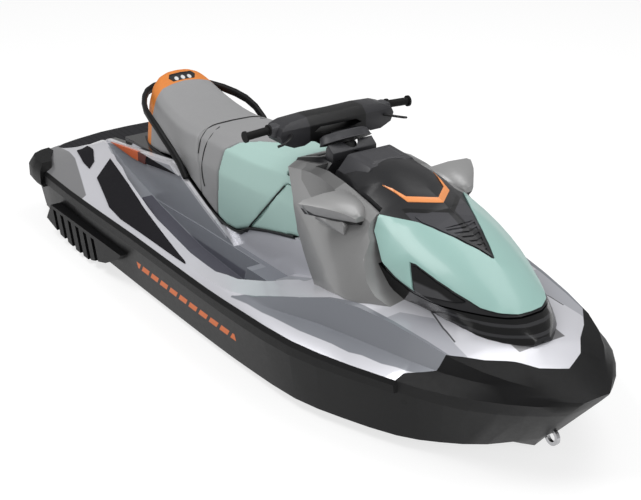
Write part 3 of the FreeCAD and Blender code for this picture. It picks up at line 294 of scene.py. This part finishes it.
def distance(tree, first, second):
    """The distance from a point, given the way to it in two directions."""
    squares = [calculate(tree, "POWER", way, 2) for way in (first, second)]
    return calculate(tree, "SQRT", calculate(tree, "ADD", *squares))


def welded_copy(node, name, to_quads=False):
    """A copy of a CAD node as a new object, with the corners of its facets joined."""
    bpy.ops.object.select_all(action="DESELECT")
    piece = bpy.data.objects.new(name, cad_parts[node].data.copy())
    bpy.context.collection.objects.link(piece)
    piece.select_set(True)
    bpy.context.view_layer.objects.active = piece
    bpy.ops.mesh.customdata_custom_splitnormals_clear()
    bpy.ops.object.mode_set(mode="EDIT")
    bpy.ops.mesh.select_all(action="SELECT")
    bpy.ops.mesh.remove_doubles(threshold=WELD)
    if to_quads:
        bpy.ops.mesh.tris_convert_to_quads(
            face_threshold=FLAT_ANGLE, shape_threshold=SHAPE_ANGLE
        )
    bpy.ops.object.mode_set(mode="OBJECT")
    return piece


def smoothed(node, name, body, crease=30, round_off=0.0):
    """A welded copy of a CAD node, smooth over its gentle edges, that stands for it."""
    piece = welded_copy(node, name, to_quads=True)
    if round_off:
        bevel = piece.modifiers.new("edges", "BEVEL")
        bevel.width = round_off
        bevel.segments = 2
        bevel.limit_method = "ANGLE"
        bevel.angle_limit = math.radians(crease)
        bpy.ops.object.modifier_apply(modifier=bevel.name)
    bpy.ops.object.shade_smooth_by_angle(angle=math.radians(crease))
    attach(piece, body)
    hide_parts(node)
    return piece


HULL_BLACK = tone(14, 14, 15)
BAR_ORANGE = tone(222, 112, 50)
OUTLET_BLACK = tone(4, 4, 4)
FLOOR_GREY = tone(132, 135, 142)
BARS_ALONG = (-0.484, 0.328)
BARS_HEIGHT = (0.136, 0.168)
BARS_OUT = 0.5
BAR_PITCH = 0.082
BAR_LEAN = 0.9
BAR_SHARE = 0.74
BAR_SOFT = 0.02
OUTLET_ALONG, OUTLET_HEIGHT = 1.164, 0.213
OUTLET_RADIUS = 0.012
OUTLET_OUT = 0.3
FLOOR_ALONG = (-0.25, 0.40)
FLOOR_OUT = (0.2, 0.47)
FLOOR_HEIGHT = 0.19
hull_coat = finish("hull_gelcoat", HULL_BLACK, rough=0.45, grain=1400, bump=0.05, shine=0.22)
tree = hull_coat.node_tree
x, y, z = place_on(tree)
leaning = calculate(tree, "MULTIPLY_ADD", z, -BAR_LEAN, x)
bars = both(
    tree,
    over(tree, BAR_SHARE, saw(tree, leaning, BAR_PITCH), BAR_SOFT),
    between(tree, x, BARS_ALONG),
    between(tree, z, BARS_HEIGHT),
    over(tree, y, BARS_OUT),
)
repaint(hull_coat, bars, BAR_ORANGE)
from_outlet = distance(
    tree,
    calculate(tree, "SUBTRACT", x, OUTLET_ALONG),
    calculate(tree, "SUBTRACT", z, OUTLET_HEIGHT),
)
outlet = both(tree, over(tree, OUTLET_RADIUS, from_outlet), over(tree, y, OUTLET_OUT))
repaint(hull_coat, outlet, OUTLET_BLACK)
well_floor = both(
    tree,
    over(tree, z, FLOOR_HEIGHT),
    between(tree, y, FLOOR_OUT),
    between(tree, x, FLOOR_ALONG),
)
repaint(hull_coat, well_floor, FLOOR_GREY)
wear(smoothed("hull", "hull_shell", "boat"), hull_coat)

# Rub rails and bumpers: textured black plastic pressed over the joint between
# hull and deck, matt from its moulded grain. The grab handle and the sponsons
# are moulded in the same plastic.


def cover(node, material):
    """Gives a CAD node its material."""
    wear(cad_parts[node], material)


RAIL_BLACK = tone(14, 14, 15)
rail_plastic = finish("rail_plastic", RAIL_BLACK, rough=0.5, grain=700, bump=0.3, shine=0.2)
wear(smoothed("rub_rails", "rub_rail_strips", "boat"), rail_plastic)
wear(smoothed("bow_bumper", "bow_bumper_cap", "boat"), rail_plastic)
wear(smoothed("stern_bumpers", "stern_corner_caps", "boat", crease=40), rail_plastic)
wear(smoothed("grab_handle", "grab_handle_loop", "boat", crease=50), rail_plastic)
cover("sponsons", rail_plastic)

# Deck: silver metallic gelcoat over a moulded shell, with blue-grey panels in
# its hollows and a black top round the seat, and painted shade on the walls of
# the foot wells.


def line_along(tree, x, points):
    """A straight-run line: its height or width in metres at each x in metres."""
    x_low, x_high = points[0][0], points[-1][0]
    low = min(v for _, v in points)
    high = max(v for _, v in points)
    reach = tree.nodes.new("ShaderNodeMapRange")
    reach.inputs["From Min"].default_value = x_low
    reach.inputs["From Max"].default_value = x_high
    tree.links.new(x, reach.inputs["Value"])
    curve = tree.nodes.new("ShaderNodeFloatCurve")
    track = curve.mapping.curves[0]
    places = [((px - x_low) / (x_high - x_low), (v - low) / (high - low)) for px, v in points]
    track.points[0].location = places[0]
    track.points[1].location = places[-1]
    for spot in places[1:-1]:
        track.points.new(*spot)
    for point in track.points:
        point.handle_type = "VECTOR"
    curve.mapping.update()
    tree.links.new(reach.outputs[0], curve.inputs["Value"])
    return calculate(tree, "MULTIPLY_ADD", curve.outputs[0], high - low, low)


def over_line(tree, value, along, points, soft=EDGE_SOFT):
    """1 where value is more than a line's height at the place along it."""
    return over(tree, value, line_along(tree, along, points), soft)


def under_line(tree, value, along, points, soft=EDGE_SOFT):
    """1 where value is less than a line's height at the place along it."""
    return over(tree, line_along(tree, along, points), value, soft)


SILVER = tone(209, 209, 215)
deck_coat = finish(
    "deck_gelcoat", SILVER, rough=0.3, metal=0.25, coat=0.6, mottle=0.02, uneven=0.01
)
tree = deck_coat.node_tree
x, y, z = place_on(tree)

# Panel in the hollow beside the hood, and the paler ridge inboard of it
PANEL_GREY = tone(128, 131, 138)
PANEL_ALONG = (0.30, 1.37)
PANEL_OUTER = [
    (0.30, 0.599), (0.494, 0.579), (0.697, 0.544), (0.875, 0.492), (1.041, 0.438),
    (1.158, 0.397), (1.256, 0.344), (1.37, 0.28),
]
PANEL_INNER = [
    (0.30, 0.595), (0.425, 0.535), (0.597, 0.477), (0.707, 0.419), (0.80, 0.375),
    (0.955, 0.355), (1.124, 0.33), (1.262, 0.309), (1.37, 0.277),
]
panel = both(
    tree,
    under_line(tree, y, x, PANEL_OUTER),
    over_line(tree, y, x, PANEL_INNER),
    between(tree, x, PANEL_ALONG),
)
repaint(deck_coat, panel, PANEL_GREY)
RIDGE_GREY = tone(172, 173, 180)
RIDGE_ALONG = (0.965, 1.321)
RIDGE_LINE = [(0.965, 0.296), (1.069, 0.225), (1.208, 0.257), (1.321, 0.27)]
ridge = both(
    tree,
    under_line(tree, y, x, PANEL_INNER),
    over_line(tree, y, x, RIDGE_LINE),
    between(tree, x, RIDGE_ALONG),
)
repaint(deck_coat, ridge, RIDGE_GREY)

# Darker stern corner outboard of the platform
CORNER_GREY = tone(128, 128, 130)
CORNER_FORE = -1.015
CORNER_LINE = [(-1.72, 0.40), (-1.394, 0.447), (-1.015, 0.574)]
stern_corner = both(tree, over_line(tree, y, x, CORNER_LINE), over(tree, CORNER_FORE, x))
repaint(deck_coat, stern_corner, CORNER_GREY)

# Painted shade on the walls of the foot wells, below the painted highlight on
# the edge of the ledge that carries the seat
WALL_SHADE_GREY = tone(164, 167, 173)
WALL_ALONG = (-1.39, 0.41)
WALL_OUT = 0.258
WELL_OUTER = [
    (-1.395, 0.286), (-1.25, 0.325), (-1.05, 0.386), (-0.85, 0.45), (-0.5, 0.532),
    (-0.15, 0.578), (0.07, 0.592), (0.19, 0.578), (0.30, 0.49), (0.41, 0.32),
]
LEDGE_LINE = [
    (-1.40, 0.386), (-1.05, 0.428), (-0.81, 0.462), (-0.76, 0.47), (-0.65, 0.415),
    (-0.49, 0.345), (-0.28, 0.265), (-0.05, 0.13),
]
LEDGE_FORE = -0.30
LEDGE_EDGE = 0.016
SILL_OUT = 0.33
SILL_HEIGHT = 0.30
ledge_height = line_along(tree, x, LEDGE_LINE)
below_edge = over(tree, calculate(tree, "SUBTRACT", ledge_height, LEDGE_EDGE), z)
ahead_of_ledge = over(tree, x, LEDGE_FORE)
inside_sill = calculate(
    tree, "MAXIMUM", over(tree, SILL_OUT, y), over(tree, SILL_HEIGHT, z)
)
wall_shade = both(
    tree,
    over(tree, y, WALL_OUT),
    under_line(tree, y, x, WELL_OUTER),
    between(tree, x, WALL_ALONG),
    inside_sill,
    calculate(tree, "MAXIMUM", below_edge, ahead_of_ledge),
)
repaint(deck_coat, wall_shade, WALL_SHADE_GREY)

# Painted highlight along the edge of the ledge, and the black top that the seat
# closes on
EDGE_HIGHLIGHT_WHITE = tone(226, 226, 230)
EDGE_ALONG = (-1.40, -0.40)
EDGE_OUT = 0.29
TOP_OUTER = [(-1.46, 0.249), (-1.25, 0.249), (-1.19, 0.2445), (0.20, 0.2445)]
edge_highlight = both(
    tree,
    over_line(tree, y, x, TOP_OUTER),
    over(tree, EDGE_OUT, y),
    between(tree, x, EDGE_ALONG),
    calculate(tree, "SUBTRACT", 1.0, below_edge),
)
repaint(deck_coat, edge_highlight, EDGE_HIGHLIGHT_WHITE)
TOP_BLACK = tone(18, 18, 19)
TOP_ALONG = (-1.46, 0.20)
GASKET_LINE = [
    (-1.46, 0.20), (-1.23, 0.20), (-1.20, 0.418), (-0.77, 0.432), (-0.65, 0.383),
    (-0.54, 0.340), (-0.40, 0.300), (-0.30, 0.290), (-0.22, 0.298), (-0.15, 0.345),
    (0.0, 0.386), (0.20, 0.428),
]
top = both(
    tree,
    under_line(tree, y, x, TOP_OUTER),
    between(tree, x, TOP_ALONG),
    over_line(tree, z, x, GASKET_LINE),
)
repaint(deck_coat, top, TOP_BLACK)

# Painted shade on the bow ahead of the hood, beneath the fascia's front, and the
# seam beside the hood
BOW_SHADE_GREY = tone(104, 104, 106)
BOW_SHADE_ALONG = (1.30, 1.385)
BOW_SHADE_OUT = 0.105
bow_shade = both(tree, over(tree, BOW_SHADE_OUT, y), between(tree, x, BOW_SHADE_ALONG))
repaint(deck_coat, bow_shade, BOW_SHADE_GREY)
SEAM_GREY = tone(84, 84, 88)
SEAM_ALONG = (1.03, 1.22)
SEAM_LINE = [(1.03, 0.206), (1.135, 0.238), (1.22, 0.253)]
SEAM_WIDTH = 0.0035
SEAM_SOFT = 0.001
off_seam = calculate(
    tree, "ABSOLUTE", calculate(tree, "SUBTRACT", y, line_along(tree, x, SEAM_LINE))
)
seam = both(tree, over(tree, SEAM_WIDTH, off_seam, SEAM_SOFT), between(tree, x, SEAM_ALONG))
repaint(deck_coat, seam, SEAM_GREY)
wear(smoothed("deck", "deck_shell", "boat", crease=26), deck_coat)

# Platform mat, floor mats and knee pads: closed-cell foam sheet with a pressed
# texture, glued on. The foot wells have moulded plastic liners, and an orange
# accent with a dark end on their inner wall.
MAT_GREY = tone(40, 40, 43)
MAT_GROOVE_BLACK = tone(26, 26, 28)
MAT_GROOVE_PITCH = 0.03
MAT_GROOVE_FROM = 0.86
MAT_GROOVE_SOFT = 0.05
mat_foam = finish("mat_foam", MAT_GREY, rough=0.8, grain=260, bump=0.6, shine=0.2)
tree = mat_foam.node_tree
x, y, z = place_on(tree)
groove = over(tree, saw(tree, y, MAT_GROOVE_PITCH), MAT_GROOVE_FROM, MAT_GROOVE_SOFT)
repaint(mat_foam, groove, MAT_GROOVE_BLACK)
cover("platform_mat", mat_foam)
FOOT_MAT_GREY = tone(92, 92, 101)
floor_foam = finish("floor_foam", FOOT_MAT_GREY, rough=0.8, grain=260, bump=0.5, shine=0.2)
cover("foot_mats", floor_foam)
PAD_BLACK = tone(23, 22, 26)
pad_foam = finish("pad_foam", PAD_BLACK, rough=0.75, grain=340, bump=0.4, shine=0.15)
wear(smoothed("bolster_pads", "knee_pads", "boat", crease=40, round_off=0.002), pad_foam)
cover("vent_panels", pad_foam)
LINER_GREY = tone(146, 149, 156)
# Painted shade darkens the liners low down in the wells.
LINER_SHADE_GREY = tone(104, 105, 115)
LINER_FOOT_HEIGHT = 0.165
LINER_FOOT_SOFT = 0.006
liner_plastic = finish("liner_plastic", LINER_GREY, rough=0.42, bump=0.15)
tree = liner_plastic.node_tree
x, y, z = place_on(tree)
liner_shade = over(tree, LINER_FOOT_HEIGHT, z, LINER_FOOT_SOFT)
repaint(liner_plastic, liner_shade, LINER_SHADE_GREY)
wear(smoothed("footwell_liners", "footwell_trays", "boat"), liner_plastic)
ACCENT_ORANGE = tone(214, 104, 56)
ACCENT_DARK = tone(96, 44, 34)
ACCENT_DARK_FROM = -1.075
accent_paint = finish("accent_paint", ACCENT_ORANGE, rough=0.4, coat=0.2)
tree = accent_paint.node_tree
x, y, z = place_on(tree)
repaint(accent_paint, over(tree, x, ACCENT_DARK_FROM), ACCENT_DARK)
cover("accent_panels", accent_paint)

# Hood and fascia: black moulded plastic, its front covered by a mint panel with
# a smoked lamp each side and a slatted grille between them, and an orange
# stripe on top. The console and the glove box lid are of the hood's plastic.
HOOD_BLACK = tone(34, 34, 36)
SHELF_GREY = tone(62, 62, 66)
SHADOW_BLACK = tone(10, 10, 11)
BROW_LINE = [(0.0, 0.888), (0.02, 0.870), (0.13, 0.768)]
BROW_DEPTH = 0.022
BROW_OUT = 0.13
SHELF_LINE = [(0.0, 0.955), (0.027, 0.966), (0.13, 0.986)]
SHELF_OUT = (0.016, 0.13)
hood_plastic = finish("hood_plastic", HOOD_BLACK, rough=0.34, bump=0.06, shine=0.3)
tree = hood_plastic.node_tree
x, y, z = place_on(tree)
brow = line_along(tree, y, BROW_LINE)
before_brow = calculate(tree, "SUBTRACT", brow, BROW_DEPTH)
shelf = both(
    tree,
    over(tree, x, brow),
    under_line(tree, x, y, SHELF_LINE),
    between(tree, y, SHELF_OUT),
)
repaint(hood_plastic, shelf, SHELF_GREY)
brow_shadow = both(
    tree, over(tree, x, before_brow), over(tree, brow, x), over(tree, BROW_OUT, y)
)
repaint(hood_plastic, brow_shadow, SHADOW_BLACK)
wear(smoothed("hood", "hood_shell", "hood", crease=34), hood_plastic)
cover("hood_grille", hood_plastic)
wear(smoothed("console", "console_cowl", "boat", crease=34, round_off=0.003), hood_plastic)
wear(
    smoothed("glove_box_lid", "glove_lid", "glove_box_lid", crease=34, round_off=0.0015),
    hood_plastic,
)
STRIPE_ORANGE = tone(236, 146, 78)
cover("hood_stripe", finish("orange_paint", STRIPE_ORANGE, rough=0.32, coat=0.3))

# Fascia under the hood, with ribs at its front greyed by a painted highlight
FASCIA_BLACK = tone(12, 12, 13)
RIB_HIGHLIGHT_GREY = tone(52, 52, 54)
RIB_HEIGHT = (0.405, 0.49)
RIB_PITCH = 0.032
RIB_FROM = 0.7
RIB_SOFT = 0.06
RIB_AFT = 1.0
gloss_black = finish("gloss_black", FASCIA_BLACK, rough=0.2, coat=0.25, shine=0.3)
tree = gloss_black.node_tree
x, y, z = place_on(tree)
rib_highlight = both(
    tree,
    over(tree, saw(tree, z, RIB_PITCH), RIB_FROM, RIB_SOFT),
    between(tree, z, RIB_HEIGHT),
    over(tree, x, RIB_AFT),
)
repaint(gloss_black, rib_highlight, RIB_HIGHLIGHT_GREY)
wear(smoothed("fascia", "fascia_shell", "boat", crease=34), gloss_black)

# Smoked lamp covers with a greyer lens in each
LAMP_BLACK = tone(14, 14, 15)
LENS_GREY = tone(66, 66, 68)
LENS_TOP = [(0.955, 0.548), (1.06, 0.540), (1.15, 0.515)]
LENS_FOOT = [(0.955, 0.545), (1.0, 0.505), (1.15, 0.500)]
LENS_AFT = 0.955
LENS_SOFT = 0.004
lamp_smoke = finish("lamp_smoke", LAMP_BLACK, rough=0.12, coat=0.3, mottle=0.02, shine=0.3)
tree = lamp_smoke.node_tree
x, y, z = place_on(tree)
lens = both(
    tree,
    under_line(tree, z, x, LENS_TOP, LENS_SOFT),
    over_line(tree, z, x, LENS_FOOT, LENS_SOFT),
    over(tree, x, LENS_AFT),
)
repaint(lamp_smoke, lens, LENS_GREY)
cover("lamp_inserts", lamp_smoke)

# Mint panel over the hood's front
HOOD_MINT = tone(153, 189, 182)
mint_paint = finish(
    "mint_paint", HOOD_MINT, rough=0.36, coat=0.2, mottle=0.01, uneven=0.01, shine=0.4
)
wear(smoothed("hood_cover", "hood_panel", "hood", crease=40), mint_paint)

# Side fairings and mirrors: plastic shells in grey metallic paint, clipped to
# the deck and the console. Each mirror housing stands on a short stalk, black
# below and with a silvered glass on the rider's side.
FAIRING_GREY = tone(136, 136, 136)
INSET_GREY = tone(106, 106, 106)
INSET_ALONG = (0.12, 0.46)
INSET_LINE = [(0.12, 0.730), (0.199, 0.728), (0.218, 0.687), (0.320, 0.655), (0.46, 0.650)]
fairing_paint = finish(
    "fairing_paint", FAIRING_GREY, rough=0.32, metal=0.3, coat=0.4, mottle=0.02, uneven=0.01
)
tree = fairing_paint.node_tree
x, y, z = place_on(tree)
inset = both(tree, over_line(tree, z, x, INSET_LINE), between(tree, x, INSET_ALONG))
repaint(fairing_paint, inset, INSET_GREY)
wear(smoothed("fairing_port", "fairing_port_shell", "boat"), fairing_paint)
wear(smoothed("fairing_starboard", "fairing_starboard_shell", "boat"), fairing_paint)
MIRROR_GREY = tone(150, 150, 150)
UNDER_BLACK = tone(16, 16, 17)
UNDER_LINE = [
    (0.184, 0.672), (0.30, 0.675), (0.367, 0.682), (0.387, 0.697), (0.42, 0.712),
]
mirror_paint = finish(
    "mirror_paint", MIRROR_GREY, rough=0.42, metal=0.3, coat=0.1, mottle=0.02, uneven=0.01
)
tree = mirror_paint.node_tree
x, y, z = place_on(tree)
repaint(mirror_paint, under_line(tree, z, y, UNDER_LINE), UNDER_BLACK)
wear(smoothed("mirror_shells", "mirror_housings", "boat", crease=50), mirror_paint)
wear(smoothed("mirror_arms", "mirror_stalks", "boat", crease=40, round_off=0.004), fairing_paint)
GLASS_SILVER = tone(225, 228, 230)
mirror_silver = finish("mirror_silver", GLASS_SILVER, rough=0.04, metal=1.0, mottle=0.01)
cover("mirror_glasses", mirror_silver)

# Steering: a black-coated steel bar through a moulded black cover on a turning
# neck, with rubber grips and short black levers. The gauge pod is greyer, and
# the drain plugs and the reverse bucket are of the levers' plastic.
BAR_BLACK = tone(24, 24, 25)
FACET_GREY = tone(60, 60, 63)
COVER_BLACK = tone(16, 16, 17)
CHEEK_GREY = tone(46, 46, 49)
CHEEK_OUT = 0.135
CHEEK_SOFT = 0.004
bar_plastic = finish("bar_plastic", BAR_BLACK, rough=0.42, grain=700, bump=0.2, shine=0.3)
facet_plastic = finish("facet_plastic", FACET_GREY, rough=0.42, grain=700, bump=0.2, shine=0.3)
pad_plastic = finish("pad_plastic", COVER_BLACK, rough=0.42, grain=700, bump=0.2, shine=0.3)
tree = pad_plastic.node_tree
x, y, z = place_on(tree)
repaint(pad_plastic, over(tree, y, CHEEK_OUT, CHEEK_SOFT), CHEEK_GREY)
wear(smoothed("handlebar_cover", "bar_pad", "steering", round_off=0.006), pad_plastic)
for node in ("steering_column", "handlebar", "levers", "drain_plugs", "reverse_bucket"):
    cover(node, bar_plastic)
wear(smoothed("gauge", "gauge_pod", "boat", round_off=0.004), facet_plastic)
GRIP_BLACK = tone(22, 22, 22)
cover("grips", finish("grip_rubber", GRIP_BLACK, rough=0.7, grain=300, bump=0.5, shine=0.2))

# Neck collar: a low ring of black plastic round the steering neck, moulded wide
# at its foot and drawn in towards its top. It turns with the neck.


def opened(name):
    """The primitive just added, named, with its whole mesh selected for editing."""
    piece = bpy.context.object
    piece.name = name
    bpy.ops.object.mode_set(mode="EDIT")
    bpy.ops.mesh.select_all(action="SELECT")
    return piece


def closed(piece, crease, body):
    """Ends the editing of a steering or hood piece of the greyer plastic."""
    bpy.ops.object.mode_set(mode="OBJECT")
    bpy.ops.object.shade_smooth_by_angle(angle=math.radians(crease))
    wear(piece, facet_plastic)
    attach(piece, body)


COLLAR_SIDES = 32
COLLAR_REACH = (0.058, 0.122, 1)
COLLAR_FOOT = (0.211, 0, 0.803)
COLLAR_TILT = math.radians(32)
# move, stretch
COLLAR_RINGS = [
    ((0, 0, 0.004), (0.94, 0.97, 1)),
    ((0, 0, 0.026), (0.92, 0.93, 1)),
    ((0, 0, 0.006), (0.86, 0.88, 1)),
]
bpy.ops.object.select_all(action="DESELECT")
bpy.ops.mesh.primitive_circle_add(
    vertices=COLLAR_SIDES, radius=1, fill_type="NGON", location=(0, 0, 0)
)
collar = opened("neck_collar")
bpy.ops.transform.resize(value=COLLAR_REACH)
for move, stretch in COLLAR_RINGS:
    bpy.ops.mesh.extrude_region_move(TRANSFORM_OT_translate={"value": move})
    bpy.ops.transform.resize(value=stretch)
bpy.ops.mesh.select_all(action="SELECT")
bpy.ops.transform.rotate(value=COLLAR_TILT, orient_axis="Y", center_override=(0, 0, 0))
bpy.ops.transform.translate(value=COLLAR_FOOT)
bpy.ops.mesh.normals_make_consistent(inside=False)
closed(collar, crease=30, body="steering")

# Rear brow: a tapered cowl of black plastic on the hood's rear edge, just ahead
# of the neck. It is moulded with a raised panel on its top and lifts with the
# hood.
BROW_SIZE = (0.165, 0.285, 0.062)
BROW_TAPER = (0.9, 0.7, 1)
BROW_RIM = 0.022
BROW_RISE = (0, 0, 0.007)
BROW_PANEL_TAPER = (0.9, 0.86, 1)
BROW_ROUND = 0.005
BROW_SLOPE = math.radians(4)
BROW_PLACE = (0.438, 0, 0.778)
FACES_UP = 0.9
bpy.ops.object.select_all(action="DESELECT")
bpy.ops.mesh.primitive_cube_add(size=1, location=(0, 0, 0))
brow_cowl = opened("hood_brow")
bpy.ops.transform.resize(value=BROW_SIZE)
bpy.ops.mesh.select_all(action="DESELECT")
bpy.ops.object.mode_set(mode="OBJECT")
for face in brow_cowl.data.polygons:
    face.select = face.normal.z > FACES_UP
bpy.ops.object.mode_set(mode="EDIT")
bpy.ops.mesh.select_mode(type="FACE")
bpy.ops.transform.resize(value=BROW_TAPER)
bpy.ops.mesh.inset(thickness=BROW_RIM)
bpy.ops.mesh.extrude_region_move(TRANSFORM_OT_translate={"value": BROW_RISE})
bpy.ops.transform.resize(value=BROW_PANEL_TAPER)
bpy.ops.mesh.select_all(action="SELECT")
bpy.ops.mesh.bevel(offset=BROW_ROUND, segments=2, affect="EDGES")
bpy.ops.transform.rotate(value=-BROW_SLOPE, orient_axis="Y", center_override=(0, 0, 0))
bpy.ops.transform.translate(value=BROW_PLACE)
bpy.ops.mesh.normals_make_consistent(inside=False)
closed(brow_cowl, crease=30, body="hood")

# Switch housings: a rounded block of black plastic inside each grip, moulded in
# two halves and clamped on the bar.
HOUSING_SIZE = (0.062, 0.07, 0.05)
HOUSING_ROUND = 0.014
HOUSING_ALONG, HOUSING_OUT, HOUSING_HEIGHT = 0.098, 0.252, 0.862
for side, label in ((1, "port"), (-1, "starboard")):
    bpy.ops.object.select_all(action="DESELECT")
    bpy.ops.mesh.primitive_cube_add(size=1, location=(0, 0, 0))
    housing = opened("switch_housing_" + label)
    bpy.ops.transform.resize(value=HOUSING_SIZE)
    bpy.ops.mesh.bevel(offset=HOUSING_ROUND, segments=3, affect="EDGES")
    bpy.ops.transform.translate(value=(HOUSING_ALONG, side * HOUSING_OUT, HOUSING_HEIGHT))
    closed(housing, crease=40, body="steering")

# Seat: moulded foam under stretched vinyl, in three cushions with mint side
# trims. The rear rim is orange and carries a badge plate with three light
# holes, and black piping runs in the seams.
VINYL_GREY = tone(146, 146, 147)
RIM_ORANGE = tone(218, 128, 50)
VINYL_MINT = tone(168, 198, 191)
RIM_LINE = [(0.0, -1.09), (0.12, -1.082), (0.22, -1.06)]
RIM_SOFT = 0.0015
FOAM_VOXEL = 0.007
FOAM_EASE = 0.5
FOAM_STEPS = 14
seat_vinyl = finish("seat_vinyl", VINYL_GREY, rough=0.55, grain=700, bump=0.2, mottle=0.02)
tree = seat_vinyl.node_tree
x, y, z = place_on(tree)
repaint(seat_vinyl, under_line(tree, x, y, RIM_LINE, RIM_SOFT), RIM_ORANGE)
mint_vinyl = finish("mint_vinyl", VINYL_MINT, rough=0.5, grain=700, bump=0.2, mottle=0.02)


def cushion(node, name, material):
    """A cushion grown from its CAD solid: one soft skin with rounded edges."""
    piece = welded_copy(node, name)
    remesh = piece.modifiers.new("foam", "REMESH")
    remesh.mode = "VOXEL"
    remesh.voxel_size = FOAM_VOXEL
    bpy.ops.object.modifier_apply(modifier=remesh.name)
    relax = piece.modifiers.new("relax", "SMOOTH")
    relax.factor = FOAM_EASE
    relax.iterations = FOAM_STEPS
    bpy.ops.object.modifier_apply(modifier=relax.name)
    bpy.ops.object.shade_smooth()
    wear(piece, material)
    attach(piece, "boat")
    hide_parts(node)


cushion("seat_passenger", "rear_cushion", seat_vinyl)
cushion("seat_driver", "middle_cushion", seat_vinyl)
cushion("seat_saddle", "front_cushion", mint_vinyl)
cushion("saddle_trims", "cushion_sides", mint_vinyl)

# Badge plate on the rear rim, with three pale holes in a row
BADGE_BLACK = tone(20, 20, 21)
LIGHT_HOLE = tone(214, 214, 214)
BADGE_MIDDLE = -1.106
HOLE_PITCH = 0.034
HOLE_RADIUS = 0.010
HOLES_OUT = 0.05
badge_plastic = finish("badge_plastic", BADGE_BLACK, rough=0.4, shine=0.3)
tree = badge_plastic.node_tree
x, y, z = place_on(tree)
beat = saw(tree, calculate(tree, "ADD", y, HOLE_PITCH / 2), HOLE_PITCH)
across_hole = calculate(tree, "MULTIPLY", calculate(tree, "SUBTRACT", beat, 0.5), HOLE_PITCH)
from_hole = distance(tree, across_hole, calculate(tree, "SUBTRACT", x, BADGE_MIDDLE))
holes = both(tree, over(tree, HOLE_RADIUS, from_hole), over(tree, HOLES_OUT, y))
repaint(badge_plastic, holes, LIGHT_HOLE)
cover("seat_badge", badge_plastic)

# Piping and creases of black vinyl cord, sewn along the seams
PIPING_BLACK = tone(22, 22, 23)
piping_vinyl = finish("piping_vinyl", PIPING_BLACK, rough=0.5, grain=500, bump=0.3)


def piping(name, points, radius):
    """A seam cord laid along points given for port, with its starboard twin."""
    bpy.ops.object.select_all(action="DESELECT")
    curve = bpy.data.curves.new(name, "CURVE")
    curve.dimensions = "3D"
    curve.bevel_depth = radius
    curve.bevel_resolution = 2
    curve.use_fill_caps = True
    for side in (1, -1):
        run = curve.splines.new("NURBS")
        run.points.add(len(points) - 1)
        for point, (px, py, pz) in zip(run.points, points):
            point.co = (px, side * py, pz, 1)
        run.use_endpoint_u = True
        run.order_u = 3
    cord = bpy.data.objects.new(name, curve)
    bpy.context.collection.objects.link(cord)
    cord.select_set(True)
    bpy.context.view_layer.objects.active = cord
    bpy.ops.object.convert(target="MESH")
    cord = bpy.context.object
    bpy.ops.object.shade_smooth()
    wear(cord, piping_vinyl)
    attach(cord, "boat")


TRIM_SEAM = [
    (-0.17, 0.237, 0.33), (-0.15, 0.237, 0.362), (-0.09, 0.235, 0.42), (-0.03, 0.230, 0.485),
    (0.01, 0.222, 0.53), (0.05, 0.212, 0.58), (0.075, 0.203, 0.61),
]
piping("trim_piping", TRIM_SEAM, radius=0.0035)
FOOT_SEAM = [
    (-1.21, 0.155, 0.432), (-1.09, 0.205, 0.436), (-1.0, 0.217, 0.438),
    (-0.85, 0.229, 0.441), (-0.77, 0.234, 0.444), (-0.65, 0.239, 0.395),
    (-0.54, 0.2405, 0.352), (-0.40, 0.2405, 0.312), (-0.30, 0.2405, 0.302),
    (-0.22, 0.2405, 0.31), (-0.15, 0.2405, 0.357), (0.0, 0.239, 0.398), (0.19, 0.236, 0.437),
]
piping("foot_piping", FOOT_SEAM, radius=0.005)
REAR_CREASE = [
    (-0.660, 0.0, 0.641), (-0.658, 0.083, 0.641), (-0.648, 0.125, 0.637),
    (-0.629, 0.162, 0.626), (-0.614, 0.193, 0.603), (-0.609, 0.205, 0.574),
    (-0.601, 0.215, 0.545),
]
piping("rear_crease", REAR_CREASE, radius=0.0025)
FRONT_CREASE = [
    (-0.598, 0.105, 0.6465), (-0.586, 0.126, 0.644), (-0.565, 0.164, 0.631),
    (-0.557, 0.196, 0.602), (-0.561, 0.207, 0.571), (-0.555, 0.220, 0.537),
    (-0.551, 0.229, 0.494), (-0.540, 0.232, 0.451), (-0.522, 0.233, 0.420),
]
piping("front_crease", FRONT_CREASE, radius=0.0025)

# Jet drive and engine: cast alloy, machined where it seals and bolted up under
# the stern. The impeller and the towing eyes are polished steel.
ALLOY_GREY = tone(170, 171, 173)
STEEL_GREY = tone(190, 190, 192)
pump_alloy = finish("pump_alloy", ALLOY_GREY, rough=0.42, metal=0.9, grain=500, bump=0.3)
for node in ("pump_housing", "jet_nozzle", "ride_plate", "intake_grate", "engine_block"):
    cover(node, pump_alloy)
eye_steel = finish("eye_steel", STEEL_GREY, rough=0.22, metal=1.0)
for node in ("towing_eyes", "impeller"):
    cover(node, eye_steel)
